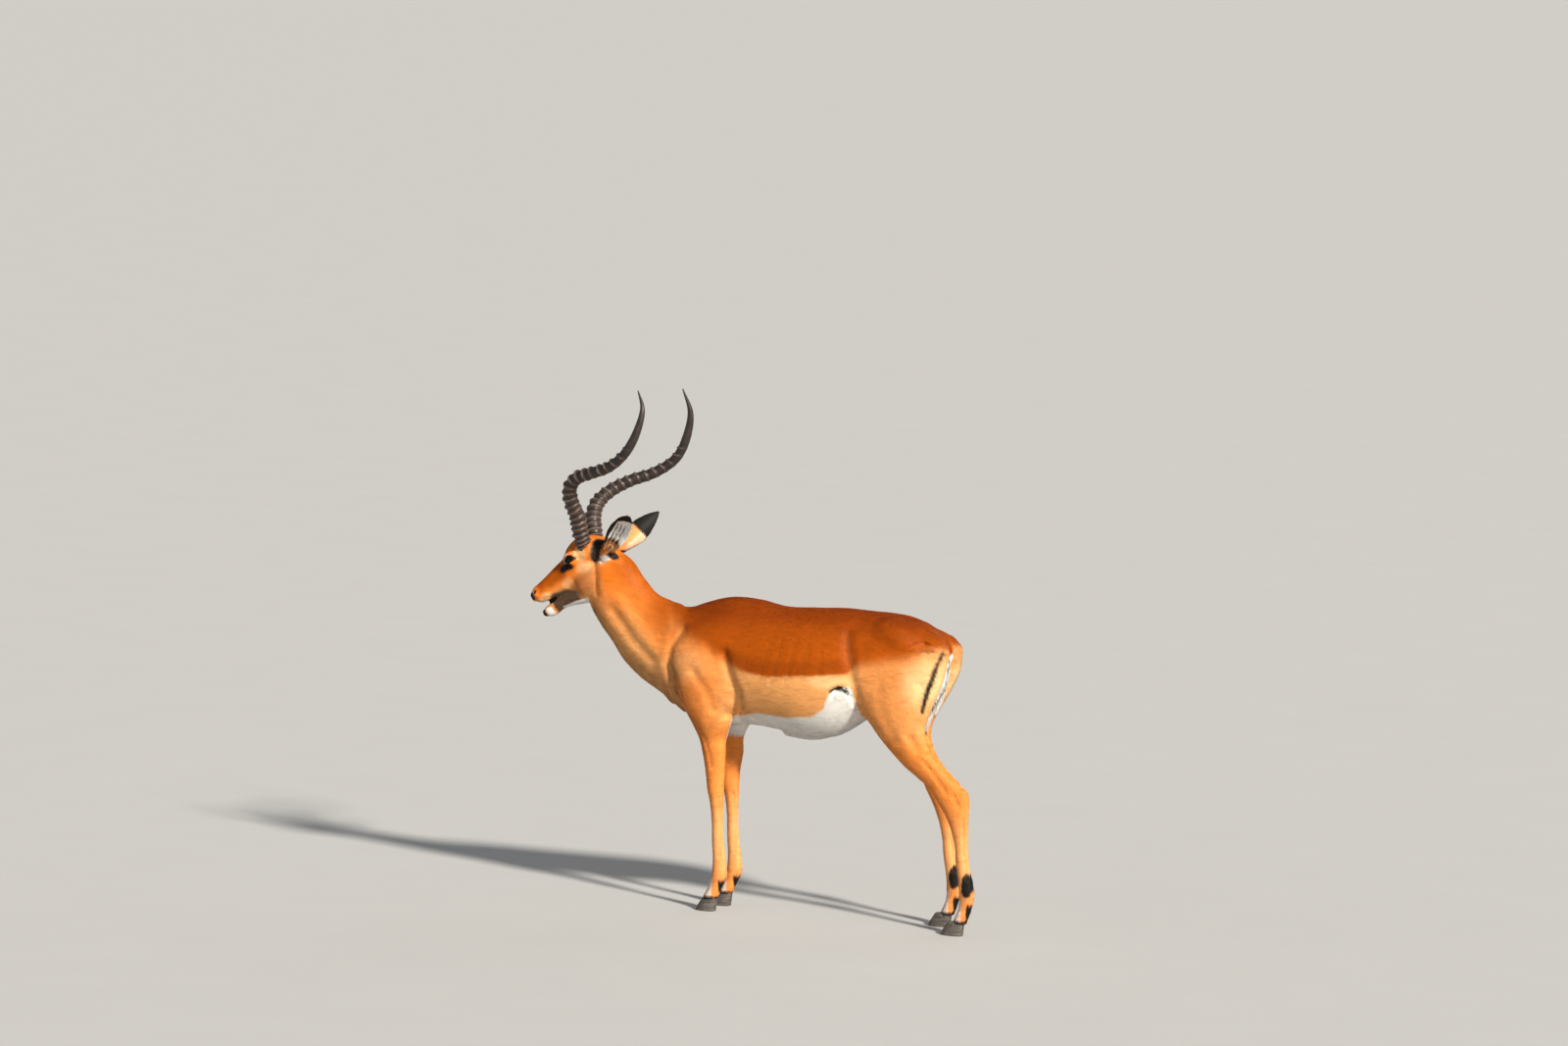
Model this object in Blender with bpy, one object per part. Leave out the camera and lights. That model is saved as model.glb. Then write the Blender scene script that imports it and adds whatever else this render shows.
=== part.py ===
"""Impala ram, life size, standing: a still model whose body is parted into named pieces.

Metres, +Z up. The ram faces -X and its left side is at -Y. The soles rest on z = 0, and the
origin is under the middle of the ram's length and width, to within a centimetre. The flesh is
one blended form, made of oval lofts and muscle bellies, which thin cuts then part at the joints.
"""
import math

import bmesh
import bpy
import numpy as np
from mathutils import Matrix, Vector

# Driving dimensions (metres)
WITHERS_HEIGHT = 0.900
CROUP_HEIGHT = 0.892
CHEST_BOTTOM = 0.522
BELLY_BOTTOM = 0.513
RIB_HALF_WIDTH = 0.144
HIP_HALF_WIDTH = 0.118
RUMP_END = 0.562
FORE_STANCE = 0.066         # middle of each forefoot from the mid plane
HIND_STANCE = 0.075
HIND_STEP = -0.095          # how far the right hind foot stands ahead of the left one
FORE_SHIFT = -0.008         # the same for the forefeet
SWING_HEIGHTS = (0.26, 0.82)    # the hind leg's swing dies out between these
NOSE = (-0.710, 0.859)      # tip of the nose, as x and z
HEAD_SLOPE = math.radians(32.2)
NECK_TOP = (-0.473, 0.926)  # where the neck's axis meets the head
NECK_SLOPE = math.radians(-41.5)
EYE_RADIUS = 0.0165
EYE_PLACE = (0.180, 0.015)  # along and across the head's slope, from the nose
EYE_ASIDE = 0.0385
EAR_LENGTH = 0.176
EAR_HALF_WIDTH = 0.031
EAR_WALL = 0.0032
HORN_BASE_RADIUS = 0.0225
HORN_RINGS = 19
HORN_SIDES = 10
CORONET_HEIGHT = 0.040
GAP = 0.0003                # between pieces that touch

VOXEL = 0.0045              # first even skin, before it settles on the blended form
FLESH_TRIANGLES = 3050
SIDES = (("left", -1.0), ("right", 1.0))


# ---------------------------------------------------------------- smooth curves

def smooth_curve(knots, values):
    """A smooth curve through the values, read at any array of places between the knots."""
    knots = np.asarray(knots, float)
    values = np.asarray(values, float)
    slopes = np.gradient(values, knots, axis=0)

    def at(place):
        place = np.clip(place, knots[0], knots[-1])
        i = np.clip(np.searchsorted(knots, place) - 1, 0, len(knots) - 2)
        span = knots[i + 1] - knots[i]
        s = (place - knots[i]) / span
        if values.ndim > 1:
            span, s = span[..., None], s[..., None]
        rise = s * s * (3 - 2 * s)
        leave = s * (1 - s) ** 2 * span
        arrive = s * s * (s - 1) * span
        return (1 - rise) * values[i] + rise * values[i + 1] + leave * slopes[i] + arrive * slopes[i + 1]

    return at


def ease(value, start, end):
    """0 before start, 1 after end, and a smooth rise between them."""
    s = np.clip((value - start) / (end - start), 0, 1)
    return s * s * (3 - 2 * s)


# ---------------------------------------------------------------- solids as distances

def oval_distance(offsets, radii):
    """Near distance to an oval solid, from offsets along its axes and the radii there."""
    ratio = sum((o / r) ** 2 for o, r in zip(offsets, radii)) ** 0.5
    steep = sum((o / (r * r)) ** 2 for o, r in zip(offsets, radii)) ** 0.5
    return ratio * (ratio - 1) / (steep + 1e-6)


class Loft:
    """Oval sections across a straight axis in a plane of constant y.

    A station is (place along the axis, high edge, low edge, half width, level of the widest
    point, sideways shift). High and low lie across the axis, in its own plane.
    """

    def __init__(self, stations, origin=(0.0, 0.0), slope=0.0, blend=0.02, cap=0.02):
        table = np.array(stations, float)
        self.places = table[:, 0]
        self.curve = smooth_curve(self.places, table[:, 1:])
        self.origin = np.array(origin)
        self.axis = np.array((math.cos(slope), math.sin(slope)))
        self.across = np.array((-self.axis[1], self.axis[0]))
        self.blend = blend
        self.cap = cap
        rings = self.rings(12, 8).reshape(-1, 3)
        self.low = rings.min(axis=0) - cap
        self.high = rings.max(axis=0) + cap

    def distance(self, points):
        flat = points[:, (0, 2)] - self.origin
        place = flat @ self.axis
        height = flat @ self.across
        beyond = place - np.clip(place, self.places[0], self.places[-1])
        high, low, wide, level, side = self.curve(place).T
        step = 0.004
        lean = (self.curve(place + step)[:, 3] - self.curve(place - step)[:, 3]) / (2 * step)
        rise = height - level
        deep = np.where(rise > 0, high - level, level - low)
        near = oval_distance((rise, points[:, 1] - side, beyond), (deep, wide, self.cap))
        return near / np.sqrt(1 + lean * lean)

    def rings(self, along, around):
        """Points of the surface, as rings along the axis."""
        place = np.linspace(self.places[0], self.places[-1], along)
        turn = np.linspace(0, 2 * math.pi, around, endpoint=False)
        high, low, wide, level, side = (c[:, None] for c in self.curve(place).T)
        rise = np.sin(turn)[None, :]
        height = level + np.where(rise > 0, high - level, level - low) * rise
        x = self.origin[0] + place[:, None] * self.axis[0] + height * self.across[0]
        z = self.origin[1] + place[:, None] * self.axis[1] + height * self.across[1]
        y = side + wide * np.cos(turn)[None, :]
        return np.stack((x, y, z), axis=2)


class Belly:
    """An oval muscle or bony lump, turned about y by its slope."""

    def __init__(self, centre, radii, slope=0.0, blend=0.02):
        self.centre = np.array(centre)
        self.radii = radii
        self.axis = np.array((math.cos(slope), 0.0, math.sin(slope)))
        self.across = np.array((-self.axis[2], 0.0, self.axis[0]))
        self.blend = blend
        self.low = self.centre - max(radii)
        self.high = self.centre + max(radii)

    def distance(self, points):
        away = points - self.centre
        return oval_distance((away @ self.axis, away[:, 1], away @ self.across), self.radii)

    def rings(self, along, around):
        tilt = np.linspace(-0.46, 0.46, along)[:, None] * math.pi
        turn = np.linspace(0, 2 * math.pi, around, endpoint=False)[None, :]
        x, y, z = self.radii
        place = x * np.sin(tilt) + 0 * turn
        side = y * np.cos(tilt) * np.cos(turn)
        height = z * np.cos(tilt) * np.sin(turn)
        out = self.centre + place[..., None] * self.axis + height[..., None] * self.across
        out[..., 1] += side
        return out


def blended(first, second, reach):
    """The nearer of two distances, rounded where they are within reach of each other."""
    near = np.maximum(reach - np.abs(first - second), 0) / reach
    return np.minimum(first, second) - near * near * reach / 4


# ---------------------------------------------------------------- the ram's flesh

def trunk():
    """Chest, ribs, belly, loin and rump, along x from the base of the neck to the tail."""
    stations = (
        (-0.241, 0.842, 0.600, 0.070, 0.73, 0),
        (-0.169, 0.872, 0.545, 0.092, 0.71, 0),
        (-0.082, WITHERS_HEIGHT - 0.003, CHEST_BOTTOM + 0.005, 0.106, 0.69, 0),
        (0.000, WITHERS_HEIGHT - 0.003, CHEST_BOTTOM + 0.013, 0.120, 0.68, 0),
        (0.082, 0.884, CHEST_BOTTOM + 0.007, 0.134, 0.68, 0),
        (0.185, 0.887, BELLY_BOTTOM, RIB_HALF_WIDTH, 0.675, 0),
        (0.267, CROUP_HEIGHT, BELLY_BOTTOM + 0.014, RIB_HALF_WIDTH - 0.004, 0.69, 0),
        (0.339, CROUP_HEIGHT - 0.001, 0.572, 0.126, 0.72, 0),
        (0.410, CROUP_HEIGHT - 0.003, 0.624, HIP_HALF_WIDTH, 0.76, 0),
        (0.470, 0.881, 0.650, 0.105, 0.76, 0),
        (0.522, 0.865, 0.675, 0.088, 0.76, 0),
        (RUMP_END, 0.838, 0.700, 0.062, 0.76, 0),
    )
    yield Loft(stations, cap=0.016)
    yield Belly((0.154, 0.0, 0.522), (0.060, 0.016, 0.013), 0.0, 0.02)      # sheath


def neck():
    """The ram's heavy neck, down its own slope from the poll to the breast."""
    stations = (
        (-0.030, 0.081, -0.071, 0.046, 0.010, 0),
        (0.020, 0.089, -0.093, 0.052, 0.000, 0),
        (0.081, 0.080, -0.110, 0.056, -0.010, 0),
        (0.142, 0.077, -0.120, 0.062, -0.015, 0),
        (0.203, 0.099, -0.132, 0.072, -0.015, 0),
        (0.274, 0.121, -0.131, 0.083, -0.010, 0),
        (0.350, 0.121, -0.116, 0.088, -0.010, 0),
        (0.431, 0.081, -0.104, 0.080, -0.020, 0),
    )
    yield Loft(stations, NECK_TOP, NECK_SLOPE, 0.03, 0.03)


def head():
    """Skull and upper face, along the head's slope from the nose."""
    stations = (
        (0.0041, 0.0000, -0.0302, 0.0135, -0.0141, 0),
        (0.0143, 0.0071, -0.0393, 0.0200, -0.0202, 0),
        (0.0367, 0.0121, -0.0464, 0.0235, -0.0262, 0),
        (0.0713, 0.0202, -0.0554, 0.0255, -0.0282, 0),
        (0.1120, 0.0312, -0.0625, 0.0300, -0.0242, 0),
        (0.1426, 0.0393, -0.0685, 0.0360, -0.0121, 0),
        (0.1680, 0.0575, -0.0726, 0.0420, 0.0040, 0),
        (0.1955, 0.0675, -0.0726, 0.0460, 0.0101, 0),
        (0.2291, 0.0665, -0.0665, 0.0455, 0.0081, 0),
        (0.2597, 0.0504, -0.0564, 0.0420, 0.0000, 0),
        (0.2902, 0.0282, -0.0504, 0.0360, -0.0101, 0),
    )
    yield Loft(stations, NOSE, HEAD_SLOPE, 0.012, 0.008)
    yield Belly(head_point(0.175, -0.060, 0.0), (0.050, 0.042, 0.042), HEAD_SLOPE + 0.4, 0.016)
    for _, side in SIDES:
        yield Belly(head_point(0.180, 0.025, side * 0.036), (0.026, 0.016, 0.019), HEAD_SLOPE, 0.012)


def jaw():
    """Lower jaw, a little open in front."""
    stations = (
        (0.0122, -0.0625, -0.0827, 0.0110, -0.0716, 0),
        (0.0265, -0.0575, -0.0907, 0.0160, -0.0736, 0),
        (0.0468, -0.0544, -0.0932, 0.0175, -0.0736, 0),
        (0.0672, -0.0484, -0.0897, 0.0190, -0.0706, 0),
        (0.0937, -0.0444, -0.0932, 0.0225, -0.0706, 0),
        (0.1242, -0.0403, -0.1028, 0.0280, -0.0726, 0),
        (0.1548, -0.0302, -0.1119, 0.0330, -0.0746, 0),
        (0.1853, -0.0202, -0.1119, 0.0340, -0.0726, 0),
        (0.2139, -0.0202, -0.0958, 0.0300, -0.0655, 0),
    )
    yield Loft(stations, NOSE, HEAD_SLOPE, 0.004, 0.006)


def foreleg(side, shift):
    """Shoulder, forearm, knee, cannon and pastern, down to the coronet."""
    stance = side * FORE_STANCE
    stations = (
        (0.030, -0.107 + shift, -0.064 + shift, 0.019, -0.085 + shift, stance),
        (0.048, -0.100 + shift, -0.056 + shift, 0.0185, -0.078 + shift, stance),
        (0.072, -0.088 + shift, -0.047 + shift, 0.0170, -0.068 + shift, stance),
        (0.102, -0.081 + shift, -0.034 + shift, 0.0190, -0.057 + shift, stance),
        (0.138, -0.079 + shift, -0.037 + shift, 0.0155, -0.058 + shift, stance),
        (0.200, -0.084 + shift, -0.047 + shift, 0.0130, -0.066 + shift, stance),
        (0.270, -0.089 + shift, -0.052 + shift, 0.0138, -0.071 + shift, stance),
        (0.315, -0.096 + shift, -0.054 + shift, 0.0185, -0.075 + shift, stance),
        (0.350, -0.105 + shift, -0.054 + shift, 0.0225, -0.080 + shift, stance),
        (0.385, -0.111 + shift, -0.053 + shift, 0.0225, -0.082 + shift, stance),
        (0.448, -0.124, -0.053, 0.0270, -0.089, stance),
        (0.492, -0.137, -0.053, 0.0320, -0.095, stance),
        (0.540, -0.159, -0.037, 0.0370, -0.100, side * 0.077),
        (0.590, -0.191, -0.027, 0.0420, -0.108, side * 0.079),
        (0.650, -0.220, -0.036, 0.0450, -0.128, side * 0.076),
        (0.720, -0.228, -0.041, 0.0440, -0.133, side * 0.068),
        (0.790, -0.195, -0.031, 0.0380, -0.111, side * 0.056),
        (0.850, -0.123, 0.000, 0.0300, -0.062, side * 0.036),
    )
    yield upright(stations, 0.022)


def hindleg(side, step):
    """Thigh, shank, hock, cannon and pastern. The lower leg swings forward by its step."""
    stance = side * HIND_STANCE
    stations = (
        (0.030, 0.660, 0.703, 0.019, stance),
        (0.048, 0.667, 0.708, 0.0185, stance),
        (0.078, 0.678, 0.717, 0.0165, stance),
        (0.112, 0.679, 0.724, 0.0190, stance),
        (0.150, 0.675, 0.718, 0.0160, stance),
        (0.200, 0.665, 0.706, 0.0140, stance),
        (0.263, 0.656, 0.699, 0.0145, stance),
        (0.316, 0.637, 0.697, 0.0175, stance),
        (0.349, 0.618, 0.697, 0.0205, stance),
        (0.387, 0.590, 0.697, 0.0215, stance),
        (0.411, 0.571, 0.690, 0.0210, stance),
        (0.436, 0.536, 0.662, 0.0220, stance),
        (0.464, 0.497, 0.627, 0.0250, stance),
        (0.498, 0.459, 0.593, 0.0300, stance),
        (0.529, 0.429, 0.568, 0.0350, side * 0.077),
        (0.574, 0.392, 0.557, 0.0430, side * 0.079),
        (0.628, 0.349, 0.570, 0.0500, side * 0.077),
        (0.690, 0.339, 0.592, 0.0550, side * 0.071),
        (0.750, 0.354, 0.606, 0.0560, side * 0.064),
        (0.795, 0.390, 0.602, 0.0500, side * 0.057),
    )
    moved = []
    for place, front, back, wide, across in stations:
        swing = step * (1 - float(ease(place, *SWING_HEIGHTS)))
        moved.append((place, front + swing, back + swing, wide, (front + back) / 2 + swing, across))
    yield upright(moved, 0.022, cap=0.035)
    yield Belly((0.455, side * 0.052, 0.828), (0.070, 0.050, 0.040), -0.35, 0.03)
    yield Belly((0.557, side * 0.045, 0.804), (0.042, 0.026, 0.026), -0.75, 0.035)     # pin bone


def upright(stations, blend, cap=0.012):
    """A loft along z, whose stations give the front edge before the back edge."""
    turned = [(z, -front, -back, wide, -level, side) for z, front, back, wide, level, side in stations]
    return Loft(turned, slope=math.pi / 2, blend=blend, cap=cap)


def tail():
    """Tail, hanging in the valley between the buttocks."""
    stations = (
        (0.558, 0.514, 0.528, 0.006, 0.521, 0),
        (0.600, 0.520, 0.543, 0.013, 0.532, 0),
        (0.650, 0.531, 0.560, 0.019, 0.546, 0),
        (0.710, 0.556, 0.588, 0.021, 0.572, 0),
        (0.760, 0.560, 0.591, 0.020, 0.576, 0),
        (0.800, 0.552, 0.588, 0.021, 0.570, 0),
        (0.825, 0.540, 0.572, 0.021, 0.556, 0),
    )
    yield upright(stations, 0.010)


def head_point(place, height, side):
    """A point given along and across the head's slope, measured from the nose."""
    along = Vector((math.cos(HEAD_SLOPE), 0.0, math.sin(HEAD_SLOPE)))
    up = Vector((-math.sin(HEAD_SLOPE), 0.0, math.cos(HEAD_SLOPE)))
    return Vector((NOSE[0], side, NOSE[1])) + place * along + height * up


def flesh_forms():
    """Every form that blends into the one body of flesh."""
    forms = [*trunk(), *neck(), *head(), *jaw()]
    for _, side in SIDES:
        right = side > 0
        forms += foreleg(side, FORE_SHIFT if right else 0.0)
        forms += hindleg(side, HIND_STEP if right else 0.0)
    return forms


def flesh_distance(points, forms):
    """Distance to the blended flesh. Each form counts only near its own box."""
    total = np.full(len(points), 0.2)
    for form in forms:
        margin = form.blend + 0.02
        near = np.all((points > form.low - margin) & (points < form.high + margin), axis=1)
        if near.any():
            total[near] = blended(total[near], form.distance(points[near]), form.blend)
    return total


def settle(points, forms, rounds=5):
    """Moves points along the slope of the distance until they lie on the flesh."""
    step = 0.0008
    for _ in range(rounds):
        here = flesh_distance(points, forms)
        slope = np.empty_like(points)
        for axis in range(3):
            shift = np.zeros(3)
            shift[axis] = step
            slope[:, axis] = (flesh_distance(points + shift, forms) - here) / step
        steep = np.maximum((slope ** 2).sum(axis=1), 0.25)
        move = slope * (here / steep)[:, None]
        length = np.linalg.norm(move, axis=1)
        points = points - move * np.minimum(1, 0.006 / np.maximum(length, 1e-9))[:, None]
    return points


# ---------------------------------------------------------------- Blender helpers

def clear_scene():
    for item in list(bpy.data.objects):
        bpy.data.objects.remove(item, do_unlink=True)


def material(name, colour, roughness, metallic=0.0):
    made = bpy.data.materials.new(name)
    made.use_nodes = True
    made.diffuse_color = (*colour, 1.0)
    shader = made.node_tree.nodes["Principled BSDF"]
    shader.inputs["Base Color"].default_value = (*colour, 1.0)
    shader.inputs["Roughness"].default_value = roughness
    shader.inputs["Metallic"].default_value = metallic
    return made


def ring_faces(mesh, rings):
    """Adds rings of points to a bmesh, bridged in order, with both ends filled."""
    made = [[mesh.verts.new(p) for p in ring] for ring in rings]
    for first, second in zip(made, made[1:]):
        for i in range(len(first)):
            j = (i + 1) % len(first)
            mesh.faces.new((first[i], first[j], second[j], second[i]))
    mesh.faces.new(reversed(made[0]))
    mesh.faces.new(made[-1])


def new_object(name, build):
    """An object from a function that fills a bmesh. Its faces are turned to point out."""
    mesh = bpy.data.meshes.new(name)
    work = bmesh.new()
    build(work)
    bmesh.ops.recalc_face_normals(work, faces=work.faces)
    work.to_mesh(mesh)
    work.free()
    made = bpy.data.objects.new(name, mesh)
    bpy.context.collection.objects.link(made)
    return made


def apply_modifiers(item):
    """Replaces an object's mesh with its evaluated one."""
    graph = bpy.context.evaluated_depsgraph_get()
    mesh = bpy.data.meshes.new_from_object(item.evaluated_get(graph))
    item.modifiers.clear()
    item.data = mesh


def combine(item, others, operation):
    """Takes the others away from an object, or joins them to it, and removes them."""
    for other in others:
        step = item.modifiers.new("combine", "BOOLEAN")
        step.operation = operation
        step.solver = "EXACT"
        step.object = other
    apply_modifiers(item)
    for other in others:
        bpy.data.objects.remove(other, do_unlink=True)


def room_for(piece):
    """A copy of a piece, a little larger all round, that cuts the room it sits in."""
    mesh = piece.data.copy()
    normals = [v.normal.copy() for v in mesh.vertices]
    for vertex, normal in zip(mesh.vertices, normals):
        vertex.co += normal * GAP * 2
    made = bpy.data.objects.new("cutter", mesh)
    bpy.context.collection.objects.link(made)
    return made


def slab(centre, slope, half_length, side_from, side_to):
    """A thin plate across the body, sloping in the plane of constant y."""
    half = Vector((half_length, (side_to - side_from) / 2, GAP / 2))
    place = Vector((centre[0], (side_from + side_to) / 2, centre[1]))
    turn = Matrix.Rotation(-slope, 4, "Y")

    def build(work):
        bmesh.ops.create_cube(work, size=2.0, matrix=Matrix.Translation(place) @ turn
                              @ Matrix.Diagonal((*half, 1.0)))

    return new_object("cutter", build)


def finish(item, made_material, angle=40.0):
    """Sets an object's one material and its shading."""
    item.data.materials.clear()
    item.data.materials.append(made_material)
    item.data.shade_smooth()
    item.data.set_sharp_from_angle(angle=math.radians(angle))


# ---------------------------------------------------------------- horns, eyes, ears, hooves

HORN_POINTS = {
    "left": (
        (-0.530, 0.031, 1.003),
        (-0.540, 0.045, 1.045),
        (-0.543, 0.066, 1.095),
        (-0.553, 0.096, 1.145),
        (-0.547, 0.120, 1.182),
        (-0.520, 0.139, 1.212),
        (-0.470, 0.156, 1.231),
        (-0.408, 0.171, 1.254),
        (-0.353, 0.184, 1.299),
        (-0.316, 0.188, 1.368),
        (-0.307, 0.181, 1.430),
        (-0.328, 0.168, 1.477),
    ),
    "right": (
        (-0.524, 0.031, 1.003),
        (-0.538, 0.045, 1.050),
        (-0.553, 0.070, 1.090),
        (-0.553, 0.100, 1.127),
        (-0.530, 0.126, 1.158),
        (-0.478, 0.150, 1.191),
        (-0.411, 0.173, 1.219),
        (-0.352, 0.187, 1.264),
        (-0.318, 0.188, 1.342),
        (-0.310, 0.180, 1.398),
        (-0.331, 0.166, 1.466),
    ),
}


def path_through(points):
    """A smooth path read from 0 at its first point to 1 at its last."""
    points = np.array(points)
    steps = np.linalg.norm(np.diff(points, axis=0), axis=1)
    places = np.concatenate(([0], np.cumsum(steps)))
    return smooth_curve(places / places[-1], points)


def horn_radius(place):
    """Radius of the horn's core along its length, from 0 at the root to 1 at the tip."""
    knots = (0.0, 0.10, 0.35, 0.62, 0.85, 1.0)
    shares = (1.00, 1.00, 0.84, 0.67, 0.44, 0.08)
    return HORN_BASE_RADIUS * smooth_curve(knots, shares)(place)


def horn_rings(side_name, side):
    """Rings of points around the horn: a groove and a crest for each ridge, then the tip."""
    curve = path_through([(x, side * y, z) for x, y, z in HORN_POINTS[side_name]])
    ridge_from, ridge_to = 0.085, 0.66
    pitch = (ridge_to - ridge_from) / HORN_RINGS
    places, swells = [0.0, 0.05], [0.0, 0.0]
    for i in range(HORN_RINGS):
        start = ridge_from + i * pitch
        fade = 1.0 - 0.5 * i / HORN_RINGS
        places += [start, start + 0.5 * pitch]
        swells += [-0.05 * fade, 0.13 * fade]
    smooth = 10
    places += [ridge_to + (1 - ridge_to) * k / smooth for k in range(1, smooth + 1)]
    swells += [0.0] * smooth
    places = np.array(places)
    centres = curve(places)
    step = 0.004
    tangents = curve(np.minimum(places + step, 1.0)) - curve(np.maximum(places - step, 0.0))
    radii = horn_radius(places) * (1 + np.array(swells))
    return [ring_around(c, t, r, HORN_SIDES) for c, t, r in zip(centres, tangents, radii)]


def ring_around(centre, tangent, radius, count):
    """A circle of points across a tangent, started towards the front."""
    tangent = Vector(tangent).normalized()
    out = Vector((-1.0, 0.0, 0.0))
    out = (out - out.dot(tangent) * tangent).normalized()
    other = tangent.cross(out)
    turns = (2 * math.pi * k / count for k in range(count))
    radius = float(radius)
    return [Vector(centre) + radius * (math.cos(a) * out + math.sin(a) * other) for a in turns]


def horn(side_name, side):
    rings = horn_rings(side_name, side)
    return new_object("horn_" + side_name, lambda work: ring_faces(work, rings))


def eye(side_name, side):
    """Eyeball, deep in its socket."""
    place = Matrix.Translation(head_point(*EYE_PLACE, side * EYE_ASIDE))

    def build(work):
        bmesh.ops.create_uvsphere(work, u_segments=12, v_segments=7, radius=EYE_RADIUS,
                                  matrix=place @ Matrix.Rotation(math.pi / 2, 4, "X"))

    return new_object("eye_" + side_name, build)


EAR_AXIS = Vector((0.0885, 0.0634, 0.111))
EAR_OPENING = {"left": Vector((0.50, 1.0, 0.0)), "right": Vector((-0.25, 1.0, -0.05))}
EAR_ROOT = Vector((-0.467, 0.0365, 0.986))
EAR_STUB_RADIUS = 0.0125
EAR_STUB_LENGTH = 0.042
EAR_CUP_START = 0.022


def ear_frame(side_name, side):
    """Root, axis, opening direction and width direction of an ear."""
    flip = Vector((1.0, side, 1.0))
    axis = (EAR_AXIS * flip).normalized()
    opening = EAR_OPENING[side_name] * flip
    opening = (opening - opening.dot(axis) * axis).normalized()
    return EAR_ROOT * flip, axis, opening, axis.cross(opening)


def ear_point(frame, place, across, inset):
    """A point of the ear's cup: place runs from root to tip, across from edge to edge."""
    root, axis, opening, width = frame
    half = EAR_HALF_WIDTH * float(smooth_curve((0, 0.16, 0.42, 0.70, 0.88, 1.0),
                                               (0.42, 0.70, 1.0, 0.74, 0.38, 0.08))(np.float64(place)))
    bend = float(smooth_curve((0, 0.25, 0.6, 1.0), (2.3, 1.5, 0.9, 0.5))(np.float64(place)))
    angle = across * bend
    radius = half / math.sin(min(bend, math.pi / 2))
    sideways = (radius - inset) * math.sin(angle)
    depth = radius * math.cos(min(bend, math.pi / 2)) * 0.6 - (radius - inset) * math.cos(angle)
    curl = 0.012 * math.sin(math.pi * place)
    middle = root + axis * (EAR_CUP_START + place * (EAR_LENGTH - EAR_CUP_START)) - opening * curl
    return middle + width * sideways + opening * (depth + radius * 0.35)


def ear(side_name, side):
    """A cupped leaf on a round stub that plugs into the head."""
    count_along, count_across = 8, 5
    frame = ear_frame(side_name, side)

    def build(work):
        rings = []
        for i in range(count_along):
            place = i / (count_along - 1)
            sweep = [2 * j / (count_across - 1) - 1 for j in range(count_across)]
            outer = [ear_point(frame, place, a, 0.0) for a in sweep]
            inner = [ear_point(frame, place, a, EAR_WALL) for a in reversed(sweep)]
            rings.append(outer + inner)
        ring_faces(work, rings)

    made = new_object("ear_" + side_name, build)
    root, axis, _, _ = frame
    ends = (root - axis * 0.004, root + axis * EAR_STUB_LENGTH)
    stub = [ring_around(end, axis, EAR_STUB_RADIUS, 10) for end in ends]
    body = new_object("cutter", lambda work: ring_faces(work, stub))
    combine(made, [body], "UNION")
    return made


HOOVES = (      # toe and heel at the left side, stance, and how far the right foot is moved
    ("fore", -0.125, -0.066, FORE_STANCE, FORE_SHIFT),
    ("hind", 0.628, 0.693, HIND_STANCE, HIND_STEP),
)


def claw(name, toe, heel, stance, outward):
    """One hoof claw: flat sole, sloping toe, round outside and flat inside."""
    levels = ((0.0, 0.0, 1.0), (0.014, 0.006, 1.0), (CORONET_HEIGHT - GAP, 0.022, 0.82))
    inner, width, count = 0.0012, 0.0180, 10

    def build(work):
        rings = []
        for height, back, share in levels:
            front = toe + back
            rear = heel + 0.10 * height
            middle, half = (front + rear) / 2, (rear - front) / 2
            ring = []
            for k in range(count):
                turn = 2 * math.pi * k / count
                bulge = math.sin(turn)
                out = inner + width * share * (0.25 + 0.75 * bulge if bulge > 0 else 0.25 * (1 + bulge))
                taper = 1.0 - 0.25 * max(0.0, -math.cos(turn))
                ring.append((middle + half * math.cos(turn), stance + outward * out * taper, height))
            rings.append(ring)
        ring_faces(work, rings)

    return new_object(name, build)


# ---------------------------------------------------------------- the whole ram

def flesh_object(forms):
    """The flesh as one mesh: rough forms, an even skin over them, then the settled surface."""
    def build(work):
        for form in forms:
            ring_faces(work, form.rings(20, 16))

    item = new_object("flesh", build)
    skin = item.modifiers.new("even skin", "REMESH")
    skin.mode = "VOXEL"
    skin.voxel_size = VOXEL
    apply_modifiers(item)
    mesh = item.data
    points = np.empty(len(mesh.vertices) * 3, np.float32)
    mesh.vertices.foreach_get("co", points)
    points = settle(points.reshape(-1, 3).astype(float), forms)
    mesh.vertices.foreach_set("co", points.astype(np.float32).ravel())
    mesh.update()
    fewer = item.modifiers.new("fewer faces", "DECIMATE")
    fewer.ratio = FLESH_TRIANGLES / (2 * len(mesh.polygons))
    apply_modifiers(item)
    return item


def block(low, high):
    """A box between two corners."""
    low, high = Vector(low), Vector(high)
    place = Matrix.Translation((low + high) / 2) @ Matrix.Diagonal((*(high - low), 1.0))
    return new_object("cutter", lambda work: bmesh.ops.create_cube(work, size=1.0, matrix=place))


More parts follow.
